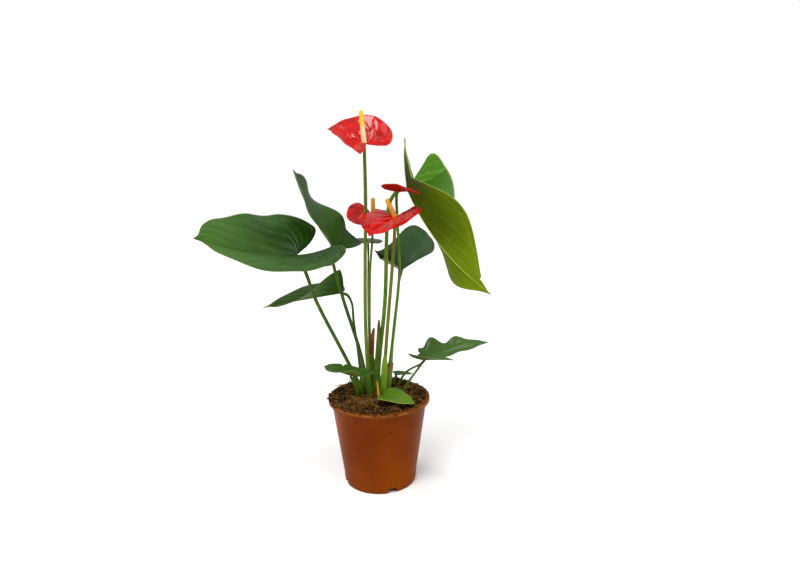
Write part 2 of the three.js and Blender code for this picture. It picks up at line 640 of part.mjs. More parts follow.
/** The crown: the short stem that carries the plant, with thick roots; grow widens it. */
function crown(grow = 0) {
  const [x, y] = CROWN.at;
  const foot = CROWN.top - CROWN.depth;
  const trunk = [new THREE.Vector3(x, y, foot - grow), new THREE.Vector3(x, y, CROWN.top)];
  const fatter = (radius, sides) => (radius + grow) / (grow ? Math.cos(Math.PI / sides) : 1);
  const trunkRadius = (part) => fatter(CROWN.radius - CROWN.taper * part, CROWN.sides);
  const rootRadius = (part) => fatter(CROWN.rootRadius * (1 - part / 2), STEM_SIDES);
  let body = solidOf(rod(trunk, trunkRadius, CROWN.sides));
  for (let i = 0; i < CROWN.roots; i += 1) {
    const azimuth = radians(CROWN.firstAzimuth + (i * 360) / CROWN.roots);
    const reach = (radius, drop) => new THREE.Vector3(
      x + radius * Math.cos(azimuth), y + radius * Math.sin(azimuth), foot + CROWN.radius - drop);
    const route = [
      reach(0, 0), reach(CROWN.rootLength / 2, CROWN.rootDrop / 6),
      reach(CROWN.rootLength + 2 * grow, CROWN.rootDrop + 2 * grow),
    ];
    body = body.add(solidOf(rod(route, rootRadius)));
  }
  return body;
}

// ---------------------------------------------------------------- assembly

const plant = new THREE.Group();

/** Adds one piece; a colour of its own may replace its material's. */
function addPiece(name, solid, kind, color) {
  const material = new THREE.MeshStandardMaterial({ ...MATERIALS[kind], ...(color && { color }) });
  const mesh = new THREE.Mesh(geometryOf(solid), material);
  mesh.name = name;
  plant.add(mesh);
}

const holes = [crown(GAP)];

for (const leaf of LEAVES) {
  const built = buildBladed(leaf, BLADE_THICKNESS, leaf.length < SMALL_LEAF ? SMALL_NET : BIG_NET);
  addPiece(`${leaf.name}_blade`, built.body, 'leaf');
  addPiece(`${leaf.name}_petiole`, built.stem, 'stem');
  holes.push(built.hole);
}

for (const bloom of BLOOMS) {
  const built = buildBladed(bloom, SPATHE_THICKNESS, SPATHE_NET, blisters);
  addPiece(`${bloom.name}_spathe`, built.body, 'spathe');
  addPiece(`${bloom.name}_peduncle`, built.stem, 'stem');
  addPiece(`${bloom.name}_spadix`, spadix(bloom, built.cutter), 'spadix');
  holes.push(built.hole);
}

for (const spec of SHEATHS) {
  const stemmed = [...LEAVES, ...BLOOMS].find((blade) => blade.name === spec.around);
  addPiece(spec.name, sheath(spec, stemmed, SHEATH_THICKNESS), 'stem', spec.color);
  holes.push(sheath(spec, stemmed, SHEATH_THICKNESS + 3 * GAP, 1.5 * GAP));
}

const [budX, budY] = BUD.base;
const budTop = new THREE.Vector3(...BUD.top);
const budRoute = (deeper) => [new THREE.Vector3(budX, budY, ROOTED - deeper), budTop];
const budRadius = (part) => BUD.radius * Math.sqrt(1 + BUD.point ** 2 - part);
addPiece('sheath_young', solidOf(rod(budRoute(0), budRadius, STEM_SIDES, BUD.rings)), 'stem', BUD.color);
holes.push(solidOf(rod(budRoute(GAP), widened(budRadius, STEM_SIDES), STEM_SIDES, BUD.rings)));

addPiece('pot', pot(), 'pot');
addPiece('crown', crown(), 'root');
addPiece('soil', largestBody(holes.reduce((body, hole) => body.subtract(hole), soil())), 'soil');

export default plant;
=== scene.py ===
"""Potted anthurium: a young plant with red spathes in a brown nursery pot.

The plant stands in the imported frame: metres, +Z up, origin at the centre of the pot's foot.
Sizes are in millimetres and angles in degrees, unless a comment says otherwise, and they are
turned to metres and radians where a mesh is made.
"""

from __future__ import annotations

import logging
import math
import random
from contextlib import contextmanager
from dataclasses import dataclass, field
from enum import Enum
from typing import Any, Callable, Iterator

import bpy
import numpy as np
from mathutils import Matrix, Vector, noise

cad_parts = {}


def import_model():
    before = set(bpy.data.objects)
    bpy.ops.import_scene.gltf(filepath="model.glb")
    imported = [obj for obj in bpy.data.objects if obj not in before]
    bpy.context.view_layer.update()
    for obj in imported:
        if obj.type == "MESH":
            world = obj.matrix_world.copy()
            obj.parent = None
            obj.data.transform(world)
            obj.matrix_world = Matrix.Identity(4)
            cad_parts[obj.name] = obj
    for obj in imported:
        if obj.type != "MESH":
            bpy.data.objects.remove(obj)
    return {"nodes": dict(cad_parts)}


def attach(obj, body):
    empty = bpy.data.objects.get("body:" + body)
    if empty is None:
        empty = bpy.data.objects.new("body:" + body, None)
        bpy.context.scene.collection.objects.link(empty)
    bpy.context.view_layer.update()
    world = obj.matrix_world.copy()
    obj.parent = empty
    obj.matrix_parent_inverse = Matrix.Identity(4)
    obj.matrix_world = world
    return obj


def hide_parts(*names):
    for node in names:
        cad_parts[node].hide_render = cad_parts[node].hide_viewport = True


MM = 0.001
MERGED = 0.02  # millimetres within which the vertices of a sheet are merged
ROUTE_STEPS = 14  # short stretches between two points of a stem's route
SHEET_UV = "along_sheet"
SEED = 7  # of the random draws
LOG = logging.getLogger("anthurium")
Point = tuple[float, float, float]
Surface = Callable[[np.ndarray, np.ndarray], np.ndarray]


# ---------------------------------------------------------------- the plant's own shapes


@dataclass(frozen=True)
class Half:
    """One half of a blade, from its midrib to its margin.

    width: from midrib to margin. lobe: how far it reaches back past the junction.
    fold, fold_tip: angle up from the blade's plane, at the base and at the tip.
    curl: how far the margin turns up (down if negative). rise: how far the lobe lifts.
    spread: how far the lobe stands off the other one: 0 closed, 1 spread, 2 gaping.
    tear: where along the margin it is torn, and how deep, as a part of the width.
    """

    width: float
    lobe: float
    fold: float
    fold_tip: float
    curl: float
    rise: float = 0.0
    spread: float = 0.0
    tear: tuple[float, float] | None = None


@dataclass(frozen=True)
class Stem:
    """A stem: where it leaves the soil, the bends of its route from the top down, and its radii."""

    base: tuple[float, float]
    bends: tuple[Point, ...]
    radii: tuple[float, float]


@dataclass(frozen=True)
class Spadix:
    """A spadix: its radii at the foot and at the top, and the way from its foot to its top."""

    radii: tuple[float, float]
    lean: Point


@dataclass(frozen=True)
class Blade:
    """A leaf's blade or a bloom's spathe, with the stem that carries it.

    It starts at its junction with the stem and runs along its heading (degrees from +X
    towards +Y) at its pitch (degrees above level). swing, bend and twist are the changes of
    heading, pitch and roll from junction to tip. fullness sets how blunt the outline is.
    ruffle: height, waves and phase of the margin's waves.
    """

    name: str
    at: Point
    heading: float
    swing: float
    pitch: float
    bend: float
    roll: float
    twist: float
    length: float
    fullness: float
    left: Half
    right: Half
    stem: Stem
    ruffle: tuple[float, float, float] = (0.0, 1.0, 0.0)
    spadix: Spadix | None = None


LEAVES: tuple[Blade, ...] = (
    Blade("leaf_1", at=(-85, -34, 277), heading=220, swing=12, pitch=4, bend=18,
          roll=-26, twist=-6, length=119, fullness=0.7,
          left=Half(53, 37, 30, 9, -24, 14, 0.2), right=Half(60, 42, 31, 15, -24, -4, 1),
          stem=Stem((-17, -7), ((-76, -38, 259), (-67, -33, 228), (-33, -12, 145)), (3.8, 1.9)),
          ruffle=(1.5, 2.2, 160)),
    Blade("leaf_2", at=(-51.5, 14, 282), heading=192, swing=29, pitch=55, bend=18,
          roll=-25, twist=-10, length=95, fullness=1.17,
          left=Half(24, 5, 18, 7, 0, 0, 0.2), right=Half(45, 23, 12, 9, 0, 13, 0.8),
          stem=Stem((-14.5, 2), ((-50, 13, 260), (-39, 9, 217), (-20, 4, 150)), (3.7, 1.9)),
          ruffle=(8.5, 1.3, 9)),
    Blade("leaf_3", at=(-43, 36, 222), heading=192, swing=8, pitch=-6, bend=-1,
          roll=-3, twist=-18, length=94, fullness=-0.3,
          left=Half(33, 3, 70, 0, 0), right=Half(33, 6, 12, 15, 0),
          stem=Stem((-19, 10), ((-36, 35, 219), (-31, 32, 210), (-29, 27, 188), (-24, 19, 150)), (2.9, 1.4))),
    Blade("leaf_4", at=(30, 39, 247.6), heading=116, swing=31, pitch=8, bend=29,
          roll=-23, twist=-26, length=55, fullness=-0.6,
          left=Half(27, 16, 54, 50, 16, 1), right=Half(60, 26, 29, 42, 19, -6, 1.4),
          stem=Stem((12, 5), ((27, 38, 237), (24, 31, 214), (18, 21, 170)), (2.9, 1.6)),
          ruffle=(7.3, 0.9, -81)),
    Blade("leaf_5", at=(37.5, 35, 345), heading=-26.5, swing=-20, pitch=-66, bend=40,
          roll=-8, twist=-134, length=164, fullness=-0.2,
          left=Half(54.4, 26, 60, -6, 60, 1, 1.55),
          right=Half(59.7, 46.5, 44, 51, -42, 8, 0.7, tear=(0.82, 0.3)),
          stem=Stem((-4, -3), ((27, 32, 343), (17, 23, 331), (13, 14, 306), (9, 6, 219), (1, 1, 149)),
                    (4.2, 2.1))),
    Blade("leaf_6", at=(-10, 58, 281), heading=92, swing=0, pitch=4, bend=-6,
          roll=3, twist=0, length=46, fullness=0.2,
          left=Half(18, 13, 6, 4, -5), right=Half(18, 13, 6, 4, -5),
          stem=Stem((-10, 19), ((-10, 56, 268), (-11, 46, 226), (-11, 29, 160)), (2.2, 1.1))),
    Blade("low_leaf_left", at=(-32, -35, 141.5), heading=186, swing=-16, pitch=22, bend=-1,
          roll=-9, twist=-6, length=31, fullness=0.6,
          left=Half(17, 8, 50, 2, -3, tear=(0.6, 0.35)), right=Half(15, 25, 30, 7, -16, 7, tear=(0.6, 0.35)),
          stem=Stem((-23, -17), ((-27, -29, 129),), (2, 1.1))),
    Blade("low_leaf_front", at=(6, -28, 115), heading=-27, swing=0, pitch=0, bend=-14,
          roll=11, twist=0, length=38, fullness=0.5,
          left=Half(12, 3, 16, 15, -10), right=Half(16, 3, 20, 9, -10),
          stem=Stem((6, -24), (), (1.8, 1.2))),
    Blade("low_leaf_right", at=(57.5, 11, 147), heading=0, swing=0, pitch=13, bend=-1,
          roll=-4, twist=19, length=77, fullness=0,
          left=Half(24, 8, 31, 26, -10, 2, 0.3), right=Half(14, 4, 6, -1, -10),
          stem=Stem((18, 8), ((53, 10, 140), (33, 9, 129)), (1.6, 1.1)),
          ruffle=(6, 2.5, 326)),
    Blade("low_leaf_curled", at=(53, -8, 149), heading=-6, swing=0, pitch=2, bend=-4,
          roll=-11, twist=0, length=36, fullness=0,
          left=Half(11, 8, 55, 20, -20), right=Half(15, 18, 34, 5, -22, 5),
          stem=Stem((24, -7), ((45, -8, 137), (35, -8, 123)), (1.6, 1.1))),
    Blade("short_leaf_back", at=(22, 27, 121), heading=8, swing=0, pitch=2, bend=-15,
          roll=0, twist=0, length=22, fullness=0.2,
          left=Half(8, 4, 15, 8, -15), right=Half(8, 4, 15, 8, -15),
          stem=Stem((16, 20), (), (1.6, 1))),
    Blade("short_leaf_front", at=(14, -14, 115), heading=-14, swing=0, pitch=5, bend=-27,
          roll=0, twist=0, length=18, fullness=0.2,
          left=Half(7, 4, 15, 8, -15), right=Half(7, 4, 15, 8, -15),
          stem=Stem((12.5, -13.5), (), (1.6, 1))),
)

BLOOMS: tuple[Blade, ...] = (
    Blade("bloom_top", at=(-11, -4, 394), heading=182, swing=11, pitch=22, bend=-1,
          roll=-39, twist=7, length=42, fullness=0.3,
          left=Half(34, 3, 20, 15, -7), right=Half(36, 27, 29, 9, -4, 1),
          stem=Stem((-11, -13), ((-11, -3, 334), (-13, -5, 262), (-14, -7, 187)), (3.2, 1.8)),
          spadix=Spadix((2.9, 2.1), (-3, 0, 35))),
    Blade("bloom_middle", at=(21, -20, 315), heading=235, swing=5, pitch=-11, bend=-12,
          roll=-4, twist=-8, length=55, fullness=0.4,
          left=Half(32, 19, 18, 10, -6, 4), right=Half(34, 19, 8, 16, -8, -5),
          stem=Stem((4, -13), ((20, -19, 295), (17, -17, 257), (10, -12, 179)), (3.6, 1.8)),
          spadix=Spadix((2.7, 2.2), (-9, -2, 20))),
    Blade("bloom_side", at=(24, -20, 343), heading=-21, swing=-9, pitch=4, bend=-20,
          roll=-14, twist=5, length=26, fullness=0.5,
          left=Half(20, 16, 18, 10, -8, 4), right=Half(20, 15, 14, 6, -11, 2),
          stem=Stem((8, -3), ((23, -17, 338), (24, 4, 318), (26, 6, 252), (21, 3, 202)), (3.2, 1.6)),
          spadix=Spadix((1.9, 1.5), (2, 11, 5))),
    Blade("bloom_back", at=(-3, 48, 314), heading=-64, swing=4, pitch=-27, bend=9,
          roll=-5, twist=4, length=32, fullness=0.5,
          left=Half(32, 21, 10, 5, -16, -4), right=Half(34, 21, 4, 2, -25, 5),
          stem=Stem((-8, 11), ((-5, 42, 282), (-8, 37, 250), (-10, 15, 145)), (2.4, 1.4)),
          spadix=Spadix((2.7, 2.2), (0, -3, 21))),
)


# ---------------------------------------------------------------- making and shaping


def clear_selection() -> None:
    """Leaves edit mode and deselects everything, so that the next operator acts on one piece."""
    if bpy.context.object and bpy.context.object.mode != "OBJECT":
        bpy.ops.object.mode_set(mode="OBJECT")
    bpy.ops.object.select_all(action="DESELECT")


def pick(piece: bpy.types.Object) -> None:
    """Makes one piece the selected and active object.

    Args:
        piece: The piece to pick.
    """
    clear_selection()
    piece.select_set(True)
    bpy.context.view_layer.objects.active = piece


@contextmanager
def edit_all() -> Iterator[None]:
    """Keeps the active piece in edit mode, with all of it selected.

    Returns:
        A context in which operators work on the mesh.
    """
    bpy.ops.object.mode_set(mode="EDIT")
    bpy.ops.mesh.select_all(action="SELECT")
    yield
    bpy.ops.object.mode_set(mode="OBJECT")


def read_rows(items: bpy.types.bpy_prop_collection, name: str) -> np.ndarray:
    """Reads a vector from each vertex of a mesh, or from each of its vertex normals.

    Args:
        items: The vertices or the normals.
        name: The vector's name there: co or vector.

    Returns:
        A row of x, y and z for each.
    """
    rows = np.empty(len(items) * 3)
    items.foreach_get(name, rows)
    return rows.reshape(-1, 3)


def set_coordinates(mesh: bpy.types.Mesh, places: np.ndarray) -> None:
    """Moves a mesh's vertices.

    Args:
        mesh: The mesh to change.
        places: A row of x, y and z for each vertex, in metres.
    """
    mesh.vertices.foreach_set("co", places.ravel())
    mesh.update()


def sheet(name: str, faces: tuple[int, int], place: Surface,
          relief: Surface | None = None) -> bpy.types.Object:
    """Models a curved sheet from a flat grid.

    The grid's own coordinates, -1 to 1 across and 0 to 1 along, stay on the sheet as its UV
    map, so that a pattern can follow the surface.

    Args:
        name: The new piece's name.
        faces: How many faces it has across and along.
        place: Gives the places, in millimetres, of points across and along.
        relief: Gives how far the points stand off that surface, in millimetres.

    Returns:
        The sheet, with the vertices that fall together merged.
    """
    clear_selection()
    bpy.ops.mesh.primitive_grid_add(x_subdivisions=faces[0], y_subdivisions=faces[1], size=2)
    piece = bpy.context.object
    piece.name = piece.data.name = name
    mesh = piece.data
    flat = read_rows(mesh.vertices, "co")
    across, along = flat[:, 0], (flat[:, 1] + 1) / 2
    corners = np.empty(len(mesh.loops), dtype=int)
    mesh.loops.foreach_get("vertex_index", corners)
    mesh.uv_layers[0].name = SHEET_UV
    mesh.uv_layers[0].data.foreach_set("uv", np.column_stack([across, along])[corners].ravel())
    set_coordinates(mesh, place(across, along) * MM)
    if relief is not None:
        raised = read_rows(mesh.vertex_normals, "vector") * relief(across, along)[:, None] * MM
        set_coordinates(mesh, read_rows(mesh.vertices, "co") + raised)
    with edit_all():
        bpy.ops.mesh.remove_doubles(threshold=MERGED * MM)
    return piece


def close_sheet(piece: bpy.types.Object, thickness: float, upper: bpy.types.Material,
                under: bpy.types.Material | None = None) -> None:
    """Gives a sheet its thickness, half to either side, and its finishes.

    Args:
        piece: The open sheet.
        thickness: In millimetres.
        upper: The finish of the side that its faces look to.
        under: The finish of the other side, if it differs.
    """
    piece.data.materials.append(upper)
    if under is not None:
        piece.data.materials.append(under)
    pick(piece)
    wall = piece.modifiers.new("thickness", "SOLIDIFY")
    wall.thickness = thickness * MM
    wall.offset = 0.0
    wall.material_offset = 0 if under is None else 1
    bpy.ops.object.modifier_apply(modifier=wall.name)
    bpy.ops.object.shade_smooth()


def close_round(piece: bpy.types.Object, skin: bpy.types.Material) -> None:
    """Turns a closed sheet's faces outwards, shades it smooth and gives it its finish.

    Args:
        piece: The sheet, whose margins meet.
        skin: Its finish.
    """
    piece.data.materials.append(skin)
    pick(piece)
    with edit_all():
        bpy.ops.mesh.normals_make_consistent(inside=False)
    bpy.ops.object.shade_smooth()


def catmull_rom(points: np.ndarray, where: np.ndarray) -> np.ndarray:
    """Finds points on an even Catmull-Rom curve.

    Args:
        points: The curve's own points, a row for each.
        where: Parts of the way along it, 0 to 1.

    Returns:
        A row for each part.
    """
    ends = np.vstack([2 * points[0] - points[1], points, 2 * points[-1] - points[-2]])
    spans = len(points) - 1
    steps = np.clip(where, 0, 1) * spans
    first = np.minimum(steps.astype(int), spans - 1)
    t = (steps - first)[:, None]
    a, b, c, d = (ends[first + i] for i in range(4))
    return 0.5 * (2 * b + (c - a) * t + (2 * a - 5 * b + 4 * c - d) * t**2 + (3 * b - a - 3 * c + d) * t**3)


def route_curve(points: np.ndarray) -> np.ndarray:
    """Draws a smooth route through a few points, without loops at its bends.

    Args:
        points: The route's own points, a row for each, in millimetres.

    Returns:
        The points of the whole route, from the first to the last.
    """
    ends = np.vstack([2 * points[0] - points[1], points, 2 * points[-1] - points[-2]])
    pace = np.sqrt(np.linalg.norm(np.diff(ends, axis=0), axis=1))
    found: list[np.ndarray] = []
    for i in range(len(points) - 1):
        a, b, c, d = ends[i : i + 4]
        before, here, after = pace[i : i + 3]
        leave = ((b - a) / before - (c - a) / (before + here) + (c - b) / here) * here
        reach = ((c - b) / here - (d - b) / (here + after) + (d - c) / after) * here
        t = np.linspace(0, 1, ROUTE_STEPS, endpoint=False)[:, None]
        cubic = (2 * b - 2 * c + leave + reach) * t**3 + (3 * c - 3 * b - 2 * leave - reach) * t**2
        found.append(cubic + leave * t + b)
    return np.vstack([*found, points[-1]])


def rod(name: str, route: np.ndarray, radii: np.ndarray, skin: bpy.types.Material | None = None,
        roundness: int = 5) -> bpy.types.Object:
    """Models a round rod along a route.

    Args:
        name: The new piece's name.
        route: The route's points, in millimetres.
        radii: The rod's radius at each of them, in millimetres.
        skin: Its finish.
        roundness: How finely its section is divided.

    Returns:
        The rod, closed at both ends.
    """
    clear_selection()
    bpy.ops.curve.primitive_bezier_curve_add()
    piece = bpy.context.object
    piece.name = name
    curve = piece.data
    curve.splines.clear()
    spline = curve.splines.new("POLY")
    spline.points.add(len(route) - 1)
    for point, place, radius in zip(spline.points, route * MM, radii):
        point.co = (*place, 1.0)
        point.radius = radius
    curve.bevel_depth = MM
    curve.bevel_resolution = roundness
    curve.use_fill_caps = True
    curve.twist_mode = "MINIMUM"
    bpy.ops.object.convert(target="MESH")
    piece = bpy.context.object
    piece.data.name = name
    if skin is not None:
        piece.data.materials.append(skin)
    bpy.ops.object.shade_smooth()
    return piece


def join(name: str, parts: list[bpy.types.Object]) -> bpy.types.Object:
    """Joins several meshes into one piece.

    Args:
        name: The joined piece's name.
        parts: The meshes.

    Returns:
        The joined piece.
    """
    clear_selection()
    for part in parts:
        part.select_set(True)
    bpy.context.view_layer.objects.active = parts[0]
    bpy.ops.object.join()
    piece = bpy.context.object
    piece.name = piece.data.name = name
    return piece


def install(piece: bpy.types.Object, slot: str, *nodes: str) -> None:
    """Sets a finished piece in the place of its CAD nodes.

    Args:
        piece: The piece, with its place in its mesh.
        slot: The record's material slot that its finish belongs to. It is not used.
        nodes: The CAD nodes that it stands for.
    """
    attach(piece, "root")
    if nodes:
        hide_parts(*nodes)
    LOG.info("%s: %d faces", piece.name, len(piece.data.polygons))


# ---------------------------------------------------------------- painting

# The property that holds the mode of a node of each type
MODES = {"Math": "operation", "Mix": "data_type", "MapRange": "interpolation_type", "TexVoronoi": "feature"}

# Changes smoothly from 0 at one value to 1 at another, which may be the lower of the two
SMOOTH = "MapRange.SMOOTHSTEP"


@dataclass(frozen=True)
class Wash:
    """A second colour over part of a surface: where it starts, where it is full and how thick it is there."""

    start: float
    full: float
    share: float

    def in_metres(self) -> Wash:
        """The same wash, whose start and full are heights in millimetres."""
        return Wash(self.start * MM, self.full * MM, self.share)


def linear(colour: str) -> tuple[float, float, float, float]:
    """Turns an sRGB colour to linear light.

    Args:
        colour: A hex value, such as #1e4a12.

    Returns:
        Linear red, green and blue, and an alpha of 1.
    """
    channels = [int(colour[i : i + 2], 16) / 255 for i in (1, 3, 5)]
    red, green, blue = (c / 12.92 if c <= 0.04045 else ((c + 0.055) / 1.055) ** 2.4 for c in channels)
    return (red, green, blue, 1.0)


def feed(tree: bpy.types.NodeTree, socket: bpy.types.NodeSocket, term: Any) -> None:
    """Links or sets one input of a node.

    Args:
        tree: The node's tree.
        socket: The input.
        term: An output, a node, which stands for its first output, a hex colour or a value.
    """
    if isinstance(term, bpy.types.Node):
        term = next(output for output in term.outputs if output.enabled)
    if isinstance(term, bpy.types.NodeSocket):
        tree.links.new(term, socket)
    else:
        socket.default_value = linear(term) if isinstance(term, str) else term


def add_node(tree: bpy.types.NodeTree, kind: str, *terms: Any, **others: Any) -> bpy.types.Node:
    """Adds a node with its settings and links.

    Args:
        tree: The node tree of a material or of the world.
        kind: The node's type without its ShaderNode prefix, then its mode after a dot, if it has one.
        terms: What feeds its inputs, in the order in which the node shows them.
        others: Its properties, and what feeds other inputs, by name.

    Returns:
        The new node.
    """
    name, _, mode = kind.partition(".")
    node = tree.nodes.new(f"ShaderNode{name}")
    if mode:
        setattr(node, MODES[name], mode)
    for socket, term in zip([socket for socket in node.inputs if socket.enabled], terms):
        feed(tree, socket, term)
    for key, term in others.items():
        if key in node.inputs:
            feed(tree, node.inputs[key], term)
        else:
            setattr(node, key, term)
    return node


class Painter:
    """Builds one procedural material, a node at a time."""

    def __init__(self, name: str) -> None:
        """Starts a material with an empty Principled shader.

        Args:
            name: The material's name.
        """
        self.material = bpy.data.materials.new(name)
        self.material.use_nodes = True
        self.tree = self.material.node_tree
        self.place = self.add("TexCoord").outputs["Object"]

    def add(self, kind: str, *terms: Any, **others: Any) -> bpy.types.Node:
        """Adds a node to this material, as add_node does."""
        return add_node(self.tree, kind, *terms, **others)

    def mottle(self, size: float, detail: float = 3.0, stretch: Point = (1.0, 1.0, 1.0),
               roughness: float = 0.5) -> bpy.types.Node:
        """Adds noise whose features have a real size.

        Args:
            size: About how large they are, in millimetres.
            detail: How many finer layers lie over them.
            stretch: How many times longer they are along x, y and z.
            roughness: How strong the finer layers are.

        Returns:
            The noise, from 0 to 1.
        """
        scaled = self.add("Mapping", self.place, Scale=[1 / (size * MM * axis) for axis in stretch])
        return self.add("TexNoise", scaled, 1.0, detail, roughness)

    def band(self, value: Any, middle: float, reach: float) -> bpy.types.Node:
        """Marks where a value is close to a number.

        Args:
            value: The value.
            middle: The number, where the mark is 1.
            reach: How far from it the mark has smoothly fallen to 0.

        Returns:
            The mark.
        """
        distance = self.add("Math.ABSOLUTE", self.add("Math.SUBTRACT", value, middle))
        return self.add(SMOOTH, distance, reach, 0.0)

    def mark(self, value: Any, wash: Wash) -> bpy.types.Node:
        """Marks where a wash lies, from 0 to its share."""
        return self.add("Math.MULTIPLY", self.add(SMOOTH, value, wash.start, wash.full), wash.share)

    def wash(self, colour: Any, value: Any, wash: Wash, over: Any) -> bpy.types.Node:
        """Washes a second colour over a first one, by a value."""
        return self.add("Mix.RGBA", self.mark(value, wash), colour, over)

    def coat(self, colour: Any, mark: Any, share: float, over: Any) -> bpy.types.Node:
        """Lays a second colour over a first one.

        Args:
            colour: The first colour.
            mark: Where the second one lies, from 0 to 1.
            share: How much of it covers the first where the mark is 1.
            over: The second colour.

        Returns:
            The new colour.
        """
        return self.add("Mix.RGBA", self.add("Math.MULTIPLY", mark, share), colour, over)

    def finish(self, colour: Any, roughness: Any, **others: Any) -> bpy.types.Material:
        """Feeds the shader's own sockets.

        Args:
            colour: The base colour.
            roughness: The roughness, as a node or as one number for the whole surface.
            others: What feeds other inputs, by name with _ for a space.

        Returns:
            The finished material.
        """
        shader = self.tree.nodes["Principled BSDF"]
        for name, term in {"Base_Color": colour, "Roughness": roughness, **others}.items():
            feed(self.tree, shader.inputs[name.replace("_", " ")], term)
        return self.material


# ---------------------------------------------------------------- finishes


@dataclass(frozen=True)
class Veins:
    """The veins of a blade: how many leave each side of its midrib, and how far they lean
    forward on their way to the margin, as a part of the blade's outline."""

    count: float = 11.0
    lean: float = 0.28

    def lines(self, across: np.ndarray, along: np.ndarray) -> np.ndarray:
        """Where points lie between veins: whole numbers fall on a vein."""
        return (along - self.lean * np.abs(across)) * self.count

    def paint_lines(self, paint: Painter, distance: Any, along: Any) -> bpy.types.Node:
        """Adds the same pattern to a material.

        Args:
            paint: The material's painter.
            distance: The distance from the midrib, 1 at the margin.
            along: The way along the sheet, from 0 to 1.

        Returns:
            Where points lie between veins.
        """
        lean = paint.add("Math.MULTIPLY", distance, self.lean)
        return paint.add("Math.MULTIPLY", paint.add("Math.SUBTRACT", along, lean), self.count)


